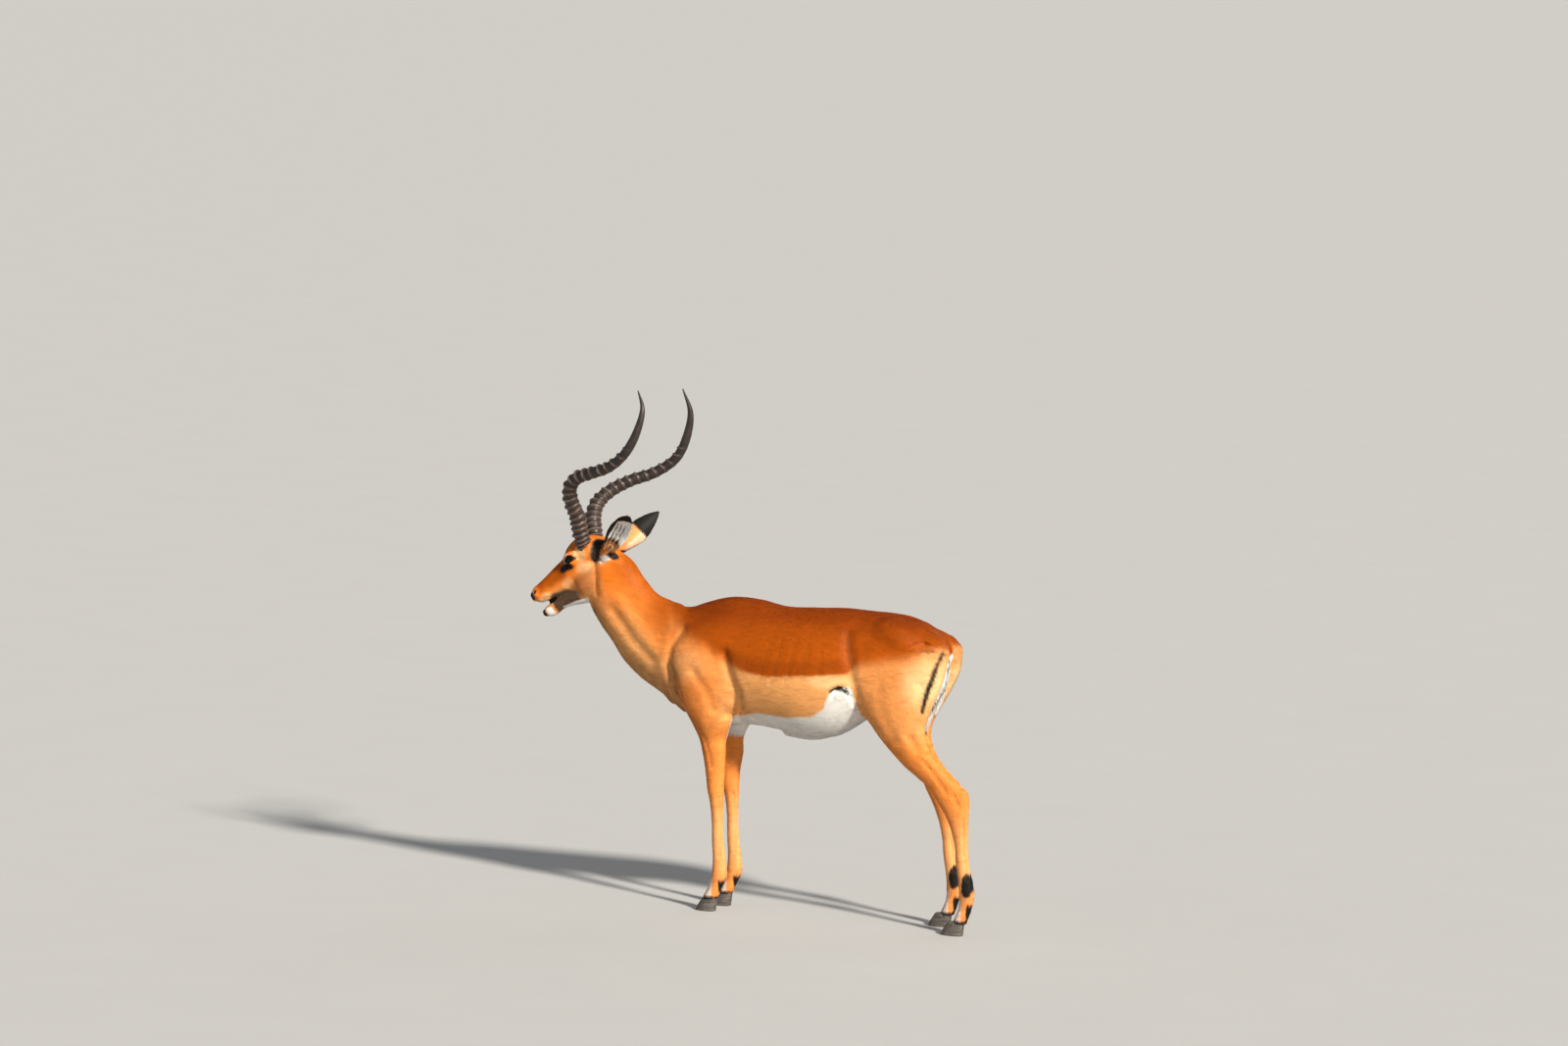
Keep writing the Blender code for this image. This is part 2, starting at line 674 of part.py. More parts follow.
def part_cuts():
    """The cuts between the body's parts: middle of the cut, slope, half length, sides."""
    across = math.pi / 2
    mouth = head_point(0.117, -0.0509, 0.0)
    cuts = [
        slab((-0.486, 0.927), math.radians(64.5), 0.130, -0.2, 0.2),      # head and neck
        slab((mouth.x, mouth.z), HEAD_SLOPE, 0.138, -0.1, 0.1),         # face and lower jaw
        slab((-0.292, 0.745), math.radians(58), 0.200, -0.2, 0.2),      # neck and chest
        slab((0.118, 0.700), across, 0.260, -0.2, 0.2),                 # chest and loin
        slab((0.292, 0.720), across, 0.260, -0.2, 0.2),                 # loin and rump
    ]
    for _, side in SIDES:
        fore = FORE_SHIFT if side > 0 else 0.0
        step = HIND_STEP if side > 0 else 0.0
        inner, outer = sorted((side * 0.022, side * 0.2))
        swing = step * (1 - float(ease(0.498, *SWING_HEIGHTS)))
        cuts += [
            slab((-0.095, 0.507), 0.0, 0.090, inner, outer),                          # elbow
            slab((-0.080 + fore, 0.347), 0.0, 0.050, inner, outer),                   # knee
            slab((-0.058 + fore, 0.118), 0.0, 0.050, inner, outer),                   # fetlock
            slab((0.477, 0.612), math.radians(21), 0.180, inner, outer),            # thigh
            slab((0.525 + swing, 0.498), math.radians(42), 0.110, inner, outer),      # stifle
            slab((0.657 + step, 0.345), 0.0, 0.070, inner, outer),                    # hock
            slab((0.699 + step, 0.128), 0.0, 0.050, inner, outer),                    # fetlock
        ]
    return cuts


def flesh_places():
    """Each part of the flesh and a point near its middle."""
    jaw_middle = head_point(0.13, -0.085, 0.0)
    places = {
        "head": Vector((-0.575, 0.0, 0.95)),
        "lower_jaw": jaw_middle,
        "neck": Vector((-0.39, 0.0, 0.83)),
        "chest": Vector((-0.08, 0.0, 0.72)),
        "loin": Vector((0.20, 0.0, 0.70)),
        "rump": Vector((0.47, 0.0, 0.76)),
    }
    for side_name, side in SIDES:
        fore = FORE_SHIFT if side > 0 else 0.0
        step = HIND_STEP if side > 0 else 0.0
        y = side * FORE_STANCE
        places["forearm_" + side_name] = Vector((-0.09 + fore, y, 0.42))
        places["fore_cannon_" + side_name] = Vector((-0.07 + fore, y, 0.23))
        places["fore_pastern_" + side_name] = Vector((-0.065 + fore, y, 0.08))
        y = side * HIND_STANCE
        places["thigh_" + side_name] = Vector((0.475 + step * 0.4, y, 0.56))
        places["shank_" + side_name] = Vector((0.605 + step * 0.7, y, 0.42))
        places["hind_cannon_" + side_name] = Vector((0.677 + step, y, 0.24))
        places["hind_pastern_" + side_name] = Vector((0.692 + step, y, 0.08))
    return places


def split_flesh(flesh, made_material):
    """Parts the cut flesh into its separate bodies and names each by its place."""
    work = bmesh.new()
    work.from_mesh(flesh.data)
    bodies = []
    waiting = set(work.verts)
    while waiting:
        body = {waiting.pop()}
        edge = list(body)
        while edge:
            near = [e.other_vert(v) for v in edge for e in v.link_edges]
            edge = [v for v in set(near) if v not in body]
            body.update(edge)
        waiting -= body
        bodies.append(body)
    places = flesh_places()
    if len(bodies) != len(places):
        sizes = [(len(b), tuple(sum((v.co for v in b), Vector()) / len(b))) for b in bodies]
        raise ValueError(f"the flesh fell into {len(bodies)} bodies, not {len(places)}: {sizes}")
    for body in bodies:
        middle = sum((v.co for v in body), Vector()) / len(body)
        name = min(places, key=lambda n: (places[n] - middle).length)
        del places[name]
        faces = sorted({f for v in body for f in v.link_faces}, key=lambda f: f.index)
        order = {v: i for i, v in enumerate(sorted(body, key=lambda v: v.index))}
        mesh = bpy.data.meshes.new(name)
        mesh.from_pydata([v.co for v in order], [], [[order[v] for v in f.verts] for f in faces])
        piece = bpy.data.objects.new(name, mesh)
        bpy.context.collection.objects.link(piece)
        finish(piece, made_material)
    work.free()
    bpy.data.objects.remove(flesh, do_unlink=True)


def tail_object():
    forms = list(tail())

    def build(work):
        for form in forms:
            ring_faces(work, form.rings(11, 10))

    return new_object("tail", build)


def main():
    clear_scene()
    coat = material("coat", (0.45, 0.17, 0.05), 0.8)
    white_hair = material("white hair", (0.75, 0.72, 0.66), 0.85)
    keratin = material("horn", (0.045, 0.032, 0.026), 0.5)
    glass = material("eye", (0.010, 0.006, 0.004), 0.08)
    hoof = material("hoof", (0.030, 0.026, 0.024), 0.55)

    flesh = flesh_object(flesh_forms())
    hard_pieces = [tail_object()]
    finish(hard_pieces[0], white_hair)
    for side_name, side in SIDES:
        for piece, look in ((horn(side_name, side), keratin), (eye(side_name, side), glass),
                            (ear(side_name, side), coat)):
            finish(piece, look)
            hard_pieces.append(piece)
        for pair, toe, heel, stance, right_shift in HOOVES:
            shift = right_shift if side > 0 else 0.0
            for place, outward in (("outer", side), ("inner", -side)):
                name = f"hoof_{pair}_{side_name}_{place}"
                finish(claw(name, toe + shift, heel + shift, side * stance, outward), hoof)
    below_coronets = block((-0.3, -0.3, -0.05), (0.9, 0.3, CORONET_HEIGHT))
    combine(flesh, [below_coronets], "DIFFERENCE")
    combine(flesh, [room_for(piece) for piece in hard_pieces], "DIFFERENCE")
    combine(flesh, part_cuts(), "DIFFERENCE")
    split_flesh(flesh, coat)


main()
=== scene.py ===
import math

import bmesh
import bpy
import numpy as np
from bpy.props import FloatProperty, FloatVectorProperty, IntProperty, PointerProperty
from mathutils import Matrix, Vector


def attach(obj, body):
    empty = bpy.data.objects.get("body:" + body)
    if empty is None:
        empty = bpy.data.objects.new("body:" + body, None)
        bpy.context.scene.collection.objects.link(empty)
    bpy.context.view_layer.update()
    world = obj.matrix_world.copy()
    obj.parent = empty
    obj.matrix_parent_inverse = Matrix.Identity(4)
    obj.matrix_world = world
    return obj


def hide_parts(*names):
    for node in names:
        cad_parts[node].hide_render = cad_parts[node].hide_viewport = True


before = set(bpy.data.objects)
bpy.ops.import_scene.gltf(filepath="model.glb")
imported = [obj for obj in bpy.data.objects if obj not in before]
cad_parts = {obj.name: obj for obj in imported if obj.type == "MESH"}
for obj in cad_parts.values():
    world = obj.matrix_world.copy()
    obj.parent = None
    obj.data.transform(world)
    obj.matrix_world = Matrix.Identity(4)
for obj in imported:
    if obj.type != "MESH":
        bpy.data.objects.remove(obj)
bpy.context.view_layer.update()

# Impala ram, life size: one skin with its markings, a coat of solid tufts, horns, eyes, hooves.
#
# Metres, +Z up. The ram faces -X and its left side is at -Y. The skin repeats the forms of the
# solids, lies inside them by the depth of the coat, and adds the lids, folds and muscle lines.

bl_info = {
    "name": "Impala ram",
    "version": (1, 0, 0),
    "blender": (4, 5, 0),
    "location": "3D View > Sidebar > Impala",
    "description": "Builds a life-size impala ram with a coat of solid tufts",
    "category": "Add Mesh",
}

# The forms of the solids (metres)
WITHERS_HEIGHT = 0.900
CROUP_HEIGHT = 0.892
CHEST_BOTTOM = 0.522
BELLY_BOTTOM = 0.513
RIB_HALF_WIDTH = 0.144
HIP_HALF_WIDTH = 0.118
RUMP_END = 0.562
FORE_STANCE = 0.066
HIND_STANCE = 0.075
HIND_STEP = -0.095
FORE_SHIFT = -0.008
SHIFT_BELOW = 0.42      # the right foreleg is shifted only up to this height
SWING_HEIGHTS = (0.26, 0.82)
NOSE = (-0.710, 0.859)
HEAD_SLOPE = math.radians(32.2)
NECK_TOP = (-0.473, 0.926)
NECK_SLOPE = math.radians(-41.5)
EYE_RADIUS = 0.0165
EYE_PLACE = (0.180, 0.015)
EYE_ASIDE = 0.0385
EAR_LENGTH = 0.176
EAR_HALF_WIDTH = 0.031
EAR_WALL = 0.0032
EAR_CUP_START = 0.022
HORN_BASE_RADIUS = 0.0225
HORN_RINGS = 21
CORONET_HEIGHT = 0.040
SIDES = (("left", -1.0), ("right", 1.0))


# ---------------------------------------------------------------- smooth curves

def smooth_curve(knots, values):
    """A smooth curve through the values, read at any array of places between the knots."""
    knots = np.asarray(knots, float)
    values = np.asarray(values, float)
    slopes = np.gradient(values, knots, axis=0)

    def at(place):
        place = np.clip(place, knots[0], knots[-1])
        i = np.clip(np.searchsorted(knots, place) - 1, 0, len(knots) - 2)
        span = knots[i + 1] - knots[i]
        s = (place - knots[i]) / span
        if values.ndim > 1:
            span, s = span[..., None], s[..., None]
        rise = s * s * (3 - 2 * s)
        leave = s * (1 - s) ** 2 * span
        arrive = s * s * (s - 1) * span
        return (1 - rise) * values[i] + rise * values[i + 1] + leave * slopes[i] + arrive * slopes[i + 1]

    return at


def ease(value, start, end):
    """0 before start, 1 after end, and a smooth rise between them."""
    s = np.clip((value - start) / (end - start), 0, 1)
    return s * s * (3 - 2 * s)


# ---------------------------------------------------------------- solids as distances

def oval_distance(offsets, radii):
    """Near distance to an oval solid, from offsets along its axes and the radii there."""
    ratio = sum((o / r) ** 2 for o, r in zip(offsets, radii)) ** 0.5
    steep = sum((o / (r * r)) ** 2 for o, r in zip(offsets, radii)) ** 0.5
    return ratio * (ratio - 1) / (steep + 1e-6)


class Loft:
    """Oval sections across a straight axis in a plane of constant y.

    A station is (place along the axis, high edge, low edge, half width, level of the widest
    point, sideways shift). High and low lie across the axis, in its own plane.
    """

    def __init__(self, stations, origin=(0.0, 0.0), slope=0.0, blend=0.02, cap=0.02):
        table = np.array(stations, float)
        self.places = table[:, 0]
        self.curve = smooth_curve(self.places, table[:, 1:])
        self.origin = np.array(origin)
        self.axis = np.array((math.cos(slope), math.sin(slope)))
        self.across = np.array((-self.axis[1], self.axis[0]))
        self.blend = blend
        self.cap = cap
        rings = self.rings(12, 8).reshape(-1, 3)
        self.low = rings.min(axis=0) - cap
        self.high = rings.max(axis=0) + cap

    def distance(self, points):
        flat = points[:, (0, 2)] - self.origin
        place = flat @ self.axis
        height = flat @ self.across
        beyond = place - np.clip(place, self.places[0], self.places[-1])
        high, low, wide, level, side = self.curve(place).T
        step = 0.004
        lean = (self.curve(place + step)[:, 3] - self.curve(place - step)[:, 3]) / (2 * step)
        rise = height - level
        deep = np.where(rise > 0, high - level, level - low)
        near = oval_distance((rise, points[:, 1] - side, beyond), (deep, wide, self.cap))
        return near / np.sqrt(1 + lean * lean)

    def rings(self, along, around):
        """Points of the surface, as rings along the axis."""
        place = np.linspace(self.places[0], self.places[-1], along)
        turn = np.linspace(0, 2 * math.pi, around, endpoint=False)
        high, low, wide, level, side = (c[:, None] for c in self.curve(place).T)
        rise = np.sin(turn)[None, :]
        height = level + np.where(rise > 0, high - level, level - low) * rise
        x = self.origin[0] + place[:, None] * self.axis[0] + height * self.across[0]
        z = self.origin[1] + place[:, None] * self.axis[1] + height * self.across[1]
        y = side + wide * np.cos(turn)[None, :]
        return np.stack((x, y, z), axis=2)


class Belly:
    """An oval muscle or bony lump, turned about y by its slope."""

    def __init__(self, centre, radii, slope=0.0, blend=0.02):
        self.centre = np.array(centre)
        self.radii = radii
        self.axis = np.array((math.cos(slope), 0.0, math.sin(slope)))
        self.across = np.array((-self.axis[2], 0.0, self.axis[0]))
        self.blend = blend
        self.low = self.centre - max(radii)
        self.high = self.centre + max(radii)

    def distance(self, points):
        away = points - self.centre
        return oval_distance((away @ self.axis, away[:, 1], away @ self.across), self.radii)

    def rings(self, along, around):
        tilt = np.linspace(-0.46, 0.46, along)[:, None] * math.pi
        turn = np.linspace(0, 2 * math.pi, around, endpoint=False)[None, :]
        x, y, z = self.radii
        place = x * np.sin(tilt) + 0 * turn
        side = y * np.cos(tilt) * np.cos(turn)
        height = z * np.cos(tilt) * np.sin(turn)
        out = self.centre + place[..., None] * self.axis + height[..., None] * self.across
        out[..., 1] += side
        return out


def blended(first, second, reach):
    """The nearer of two distances, rounded where they are within reach of each other."""
    near = np.maximum(reach - np.abs(first - second), 0) / reach
    return np.minimum(first, second) - near * near * reach / 4


# ---------------------------------------------------------------- the ram's flesh

def trunk():
    """Chest, ribs, belly, loin and rump, along x from the base of the neck to the tail."""
    stations = (
        (-0.241, 0.842, 0.600, 0.070, 0.73, 0),
        (-0.169, 0.872, 0.545, 0.092, 0.71, 0),
        (-0.082, WITHERS_HEIGHT - 0.003, CHEST_BOTTOM + 0.005, 0.106, 0.69, 0),
        (0.000, WITHERS_HEIGHT - 0.003, CHEST_BOTTOM + 0.013, 0.120, 0.68, 0),
        (0.082, 0.884, CHEST_BOTTOM + 0.007, 0.134, 0.68, 0),
        (0.185, 0.887, BELLY_BOTTOM, RIB_HALF_WIDTH, 0.675, 0),
        (0.267, CROUP_HEIGHT, BELLY_BOTTOM + 0.014, RIB_HALF_WIDTH - 0.004, 0.69, 0),
        (0.339, CROUP_HEIGHT - 0.001, 0.572, 0.126, 0.72, 0),
        (0.410, CROUP_HEIGHT - 0.003, 0.624, HIP_HALF_WIDTH, 0.76, 0),
        (0.470, 0.881, 0.650, 0.105, 0.76, 0),
        (0.522, 0.865, 0.675, 0.088, 0.76, 0),
        (RUMP_END, 0.838, 0.700, 0.062, 0.76, 0),
    )
    yield Loft(stations, cap=0.016)
    yield Belly((0.154, 0.0, 0.522), (0.060, 0.016, 0.013), 0.0, 0.02)      # sheath


def neck():
    """The ram's heavy neck, down its own slope from the poll to the breast."""
    stations = (
        (-0.030, 0.081, -0.071, 0.046, 0.010, 0),
        (0.020, 0.089, -0.093, 0.052, 0.000, 0),
        (0.081, 0.080, -0.110, 0.056, -0.010, 0),
        (0.142, 0.077, -0.120, 0.062, -0.015, 0),
        (0.203, 0.099, -0.132, 0.072, -0.015, 0),
        (0.274, 0.121, -0.131, 0.083, -0.010, 0),
        (0.350, 0.121, -0.116, 0.088, -0.010, 0),
        (0.431, 0.081, -0.104, 0.080, -0.020, 0),
    )
    yield Loft(stations, NECK_TOP, NECK_SLOPE, 0.03, 0.03)


def head():
    """Skull and upper face, along the head's slope from the nose."""
    stations = (
        (0.0041, 0.0000, -0.0302, 0.0135, -0.0141, 0),
        (0.0143, 0.0071, -0.0393, 0.0200, -0.0202, 0),
        (0.0367, 0.0121, -0.0464, 0.0235, -0.0262, 0),
        (0.0713, 0.0202, -0.0554, 0.0255, -0.0282, 0),
        (0.1120, 0.0312, -0.0625, 0.0300, -0.0242, 0),
        (0.1426, 0.0393, -0.0685, 0.0360, -0.0121, 0),
        (0.1680, 0.0575, -0.0726, 0.0420, 0.0040, 0),
        (0.1955, 0.0675, -0.0726, 0.0460, 0.0101, 0),
        (0.2291, 0.0665, -0.0665, 0.0455, 0.0081, 0),
        (0.2597, 0.0504, -0.0564, 0.0420, 0.0000, 0),
        (0.2902, 0.0282, -0.0504, 0.0360, -0.0101, 0),
    )
    yield Loft(stations, NOSE, HEAD_SLOPE, 0.012, 0.008)
    yield Belly(head_point(0.175, -0.060, 0.0), (0.050, 0.042, 0.042), HEAD_SLOPE + 0.4, 0.016)
    for _, side in SIDES:
        yield Belly(head_point(0.180, 0.025, side * 0.036), (0.026, 0.016, 0.019), HEAD_SLOPE, 0.012)


def jaw():
    """Lower jaw, a little open in front."""
    stations = (
        (0.0122, -0.0625, -0.0827, 0.0110, -0.0716, 0),
        (0.0265, -0.0575, -0.0907, 0.0160, -0.0736, 0),
        (0.0468, -0.0544, -0.0932, 0.0175, -0.0736, 0),
        (0.0672, -0.0484, -0.0897, 0.0190, -0.0706, 0),
        (0.0937, -0.0444, -0.0932, 0.0225, -0.0706, 0),
        (0.1242, -0.0403, -0.1028, 0.0280, -0.0726, 0),
        (0.1548, -0.0302, -0.1119, 0.0330, -0.0746, 0),
        (0.1853, -0.0202, -0.1119, 0.0340, -0.0726, 0),
        (0.2139, -0.0202, -0.0958, 0.0300, -0.0655, 0),
    )
    yield Loft(stations, NOSE, HEAD_SLOPE, 0.004, 0.006)


def foreleg(side, shift):
    """Shoulder, forearm, knee, cannon and pastern, down to the coronet."""
    stance = side * FORE_STANCE
    stations = (
        (0.030, -0.107, -0.064, 0.019, -0.085, stance),
        (0.048, -0.100, -0.056, 0.0185, -0.078, stance),
        (0.072, -0.088, -0.047, 0.0170, -0.068, stance),
        (0.102, -0.081, -0.034, 0.0190, -0.057, stance),
        (0.138, -0.079, -0.037, 0.0155, -0.058, stance),
        (0.200, -0.084, -0.047, 0.0130, -0.066, stance),
        (0.270, -0.089, -0.052, 0.0138, -0.071, stance),
        (0.315, -0.096, -0.054, 0.0185, -0.075, stance),
        (0.350, -0.105, -0.054, 0.0225, -0.080, stance),
        (0.385, -0.111, -0.053, 0.0225, -0.082, stance),
        (0.448, -0.124, -0.053, 0.0270, -0.089, stance),
        (0.492, -0.137, -0.053, 0.0320, -0.095, stance),
        (0.540, -0.159, -0.037, 0.0370, -0.100, side * 0.077),
        (0.590, -0.191, -0.027, 0.0420, -0.108, side * 0.079),
        (0.650, -0.220, -0.036, 0.0450, -0.128, side * 0.076),
        (0.720, -0.228, -0.041, 0.0440, -0.133, side * 0.068),
        (0.790, -0.195, -0.031, 0.0380, -0.111, side * 0.056),
        (0.850, -0.123, 0.000, 0.0300, -0.062, side * 0.036),
    )
    moved = []
    for place, front, back, wide, level, across in stations:
        step = shift if place < SHIFT_BELOW else 0.0
        moved.append((place, front + step, back + step, wide, level + step, across))
    yield upright(moved, 0.022)


def hindleg(side, step):
    """Thigh, shank, hock, cannon and pastern. The lower leg swings forward by its step."""
    stance = side * HIND_STANCE
    stations = (
        (0.030, 0.660, 0.703, 0.019, stance),
        (0.048, 0.667, 0.708, 0.0185, stance),
        (0.078, 0.678, 0.717, 0.0165, stance),
        (0.112, 0.679, 0.724, 0.0190, stance),
        (0.150, 0.675, 0.718, 0.0160, stance),
        (0.200, 0.665, 0.706, 0.0140, stance),
        (0.263, 0.656, 0.699, 0.0145, stance),
        (0.316, 0.637, 0.697, 0.0175, stance),
        (0.349, 0.618, 0.697, 0.0205, stance),
        (0.387, 0.590, 0.697, 0.0215, stance),
        (0.411, 0.571, 0.690, 0.0210, stance),
        (0.436, 0.536, 0.662, 0.0220, stance),
        (0.464, 0.497, 0.627, 0.0250, stance),
        (0.498, 0.459, 0.593, 0.0300, stance),
        (0.529, 0.429, 0.568, 0.0350, side * 0.077),
        (0.574, 0.392, 0.557, 0.0430, side * 0.079),
        (0.628, 0.349, 0.570, 0.0500, side * 0.077),
        (0.690, 0.339, 0.592, 0.0550, side * 0.071),
        (0.750, 0.354, 0.606, 0.0560, side * 0.064),
        (0.795, 0.390, 0.602, 0.0500, side * 0.057),
    )
    moved = []
    for place, front, back, wide, across in stations:
        swing = step * (1 - float(ease(place, *SWING_HEIGHTS)))
        moved.append((place, front + swing, back + swing, wide, (front + back) / 2 + swing, across))
    yield upright(moved, 0.022, cap=0.035)
    yield Belly((0.455, side * 0.052, 0.828), (0.070, 0.050, 0.040), -0.35, 0.03)
    yield Belly((0.557, side * 0.045, 0.804), (0.042, 0.026, 0.026), -0.75, 0.035)     # pin bone


def upright(stations, blend, cap=0.012):
    """A loft along z, whose stations give the front edge before the back edge."""
    turned = [(z, -front, -back, wide, -level, side) for z, front, back, wide, level, side in stations]
    return Loft(turned, slope=math.pi / 2, blend=blend, cap=cap)


def tail():
    """Tail, hanging in the valley between the buttocks."""
    stations = (
        (0.558, 0.514, 0.528, 0.006, 0.521, 0),
        (0.600, 0.520, 0.543, 0.013, 0.532, 0),
        (0.650, 0.531, 0.560, 0.019, 0.546, 0),
        (0.710, 0.556, 0.588, 0.021, 0.572, 0),
        (0.760, 0.560, 0.591, 0.020, 0.576, 0),
        (0.800, 0.552, 0.588, 0.021, 0.570, 0),
        (0.825, 0.540, 0.572, 0.021, 0.556, 0),
    )
    yield upright(stations, 0.010)


def head_point(place, height, side):
    """A point given along and across the head's slope, measured from the nose."""
    along = Vector((math.cos(HEAD_SLOPE), 0.0, math.sin(HEAD_SLOPE)))
    up = Vector((-math.sin(HEAD_SLOPE), 0.0, math.cos(HEAD_SLOPE)))
    return Vector((NOSE[0], side, NOSE[1])) + place * along + height * up


FAR = 0.2               # the distance given to points near no form
BOX_MARGIN = 0.02


def flesh_distance(points, forms):
    """Distance to the blended flesh. Each form counts only near its own box."""
    total = np.full(len(points), FAR)
    for form in forms:
        margin = form.blend + BOX_MARGIN
        near = np.all((points > form.low - margin) & (points < form.high + margin), axis=1)
        if near.any():
            total[near] = blended(total[near], form.distance(points[near]), form.blend)
    return total


# ---------------------------------------------------------------- the skin as a distance

def smooth_max(first, second, reach):
    return -blended(-first, -second, reach)


def head_local(points):
    """Places along and across the head's slope, measured from the nose."""
    x = points[:, 0] - NOSE[0]
    z = points[:, 2] - NOSE[1]
    along, up = math.cos(HEAD_SLOPE), math.sin(HEAD_SLOPE)
    return x * along + z * up, z * along - x * up


def as_left(points):
    """x and z of each point as if the right feet stood where the left ones do."""
    x, y, z = points.T
    swing = HIND_STEP * (1 - ease(z, *SWING_HEIGHTS)) * ease(x, 0.28, 0.40)
    shift = FORE_SHIFT * (1 - ease(z, 0.385, 0.448)) * (x < 0.1)
    return np.where(y > 0, x - swing - shift, x), z


def from_line(x, z, line):
    """Distance in a plane from each place to a bent line."""
    nearest = np.full(len(x), 1.0)
    for (ax, az), (bx, bz) in zip(line, line[1:]):
        run, rise = bx - ax, bz - az
        share = ((x - ax) * run + (z - az) * rise) / (run * run + rise * rise)
        share = np.clip(share, 0, 1)
        away = np.hypot(x - ax - share * run, z - az - share * rise)
        nearest = np.minimum(nearest, away)
    return nearest


# Grooves on both sides: line in x and z, width, depth
BODY_CREASES = (
    (((0.309, 0.825), (0.320, 0.785), (0.333, 0.748), (0.341, 0.690), (0.352, 0.655)), 0.016, 0.0075),
    (((-0.205, 0.800), (-0.233, 0.755), (-0.243, 0.705), (-0.215, 0.655)), 0.016, 0.0085),
    (((-0.060, 0.745), (-0.044, 0.697), (-0.016, 0.643), (-0.016, 0.600), (-0.036, 0.570)), 0.015, 0.0095),
    (((0.284, 0.660), (0.293, 0.670), (0.309, 0.676), (0.327, 0.668), (0.341, 0.645), (0.351, 0.612)),
     0.008, 0.0070),
    (((-0.150, 0.690), (-0.105, 0.640), (-0.080, 0.585)), 0.013, 0.0045),
    (((-0.113, 0.775), (-0.095, 0.735), (-0.075, 0.690)), 0.014, 0.0020),
    (((0.571, 0.506), (0.612, 0.468), (0.668, 0.420)), 0.008, 0.0040),
    (((0.560, 0.490), (0.595, 0.452), (0.632, 0.405)), 0.006, 0.0026),
    (((0.548, 0.700), (0.536, 0.630), (0.515, 0.560), (0.540, 0.520)), 0.013, 0.0045),
    (((0.420, 0.700), (0.440, 0.620), (0.480, 0.540)), 0.016, 0.0018),
    (((-0.430, 0.835), (-0.365, 0.765), (-0.290, 0.705)), 0.018, 0.0065),
    (((-0.400, 0.890), (-0.330, 0.815), (-0.270, 0.760)), 0.018, 0.0022),
    (((-0.112, 0.505), (-0.094, 0.455), (-0.086, 0.415)), 0.006, 0.0022),
    (((-0.066, 0.330), (-0.058, 0.250), (-0.056, 0.160)), 0.0045, 0.0030),
    (((0.684, 0.330), (0.690, 0.240), (0.703, 0.165)), 0.0045, 0.0030),
    (((0.655, 0.395), (0.668, 0.372)), 0.007, 0.0026),
    (((0.080, 0.800), (0.070, 0.740), (0.055, 0.690)), 0.007, 0.0010),
    (((0.118, 0.805), (0.110, 0.740), (0.096, 0.680)), 0.007, 0.0014),
    (((0.158, 0.808), (0.152, 0.745), (0.140, 0.680)), 0.007, 0.0014),
    (((0.198, 0.805), (0.196, 0.745), (0.188, 0.690)), 0.007, 0.0012),
    (((0.236, 0.800), (0.238, 0.750), (0.234, 0.700)), 0.008, 0.0010),
)

# The same on the head, in places along and across its slope
FACE_CREASES = (
    (((0.236, -0.022), (0.226, -0.050), (0.2006, -0.0997)), 0.008, 0.0034),
    (((0.152, -0.040), (0.148, -0.088)), 0.009, 0.0014),
    (((0.148, -0.012), (0.185, -0.014), (0.225, -0.014)), 0.006, 0.0014),
    (((0.140, 0.014), (0.104, 0.002), (0.066, -0.012)), 0.009, 0.0014),
    (((0.060, -0.030), (0.100, -0.034)), 0.009, 0.0010),
    (((0.056, -0.0525), (0.068, -0.0505)), 0.003, 0.0022),
    (((0.010, -0.020), (0.034, -0.036), (0.054, -0.042)), 0.004, 0.0010),
    (((0.222, 0.022), (0.250, 0.012)), 0.011, 0.0028),
    (((0.163, 0.0105), (0.150, 0.0045)), 0.0028, 0.0030),
)

# Depth of the coat on the face and shanks, and what the body has more
SHORT_COAT_DEPTH = 0.0010
LONG_COAT_EXTRA = 0.0015
LID_THICKNESS = 0.0022
FISSURE_HALF_LENGTH = 0.0170
UPPER_LID_RISE = 0.0086
LOWER_LID_DROP = 0.0068
NOSTRIL_PLACE = (0.0235, -0.0075, 0.0165)
NOSTRIL_RADII = (0.0075, 0.0040, 0.0028)


def coat_depth(points):
    """How far the skin lies inside the solids' outline."""
    x, _, z = points.T
    return SHORT_COAT_DEPTH + LONG_COAT_EXTRA * ease(x, -0.50, -0.42) * ease(z, 0.30, 0.46)


def eye_axes(side):
    """Outward, along the opening between the lids, and up, at an eye."""
    out = Vector((-0.22, side * 0.95, 0.14)).normalized()
    along = Vector((math.cos(0.38), 0.0, math.sin(0.38)))
    along = (along - along.dot(out) * out).normalized()
    up = out.cross(along) * (-side)
    if up.z < 0:
        up = -up
    return np.array(out), np.array(along), np.array(up)


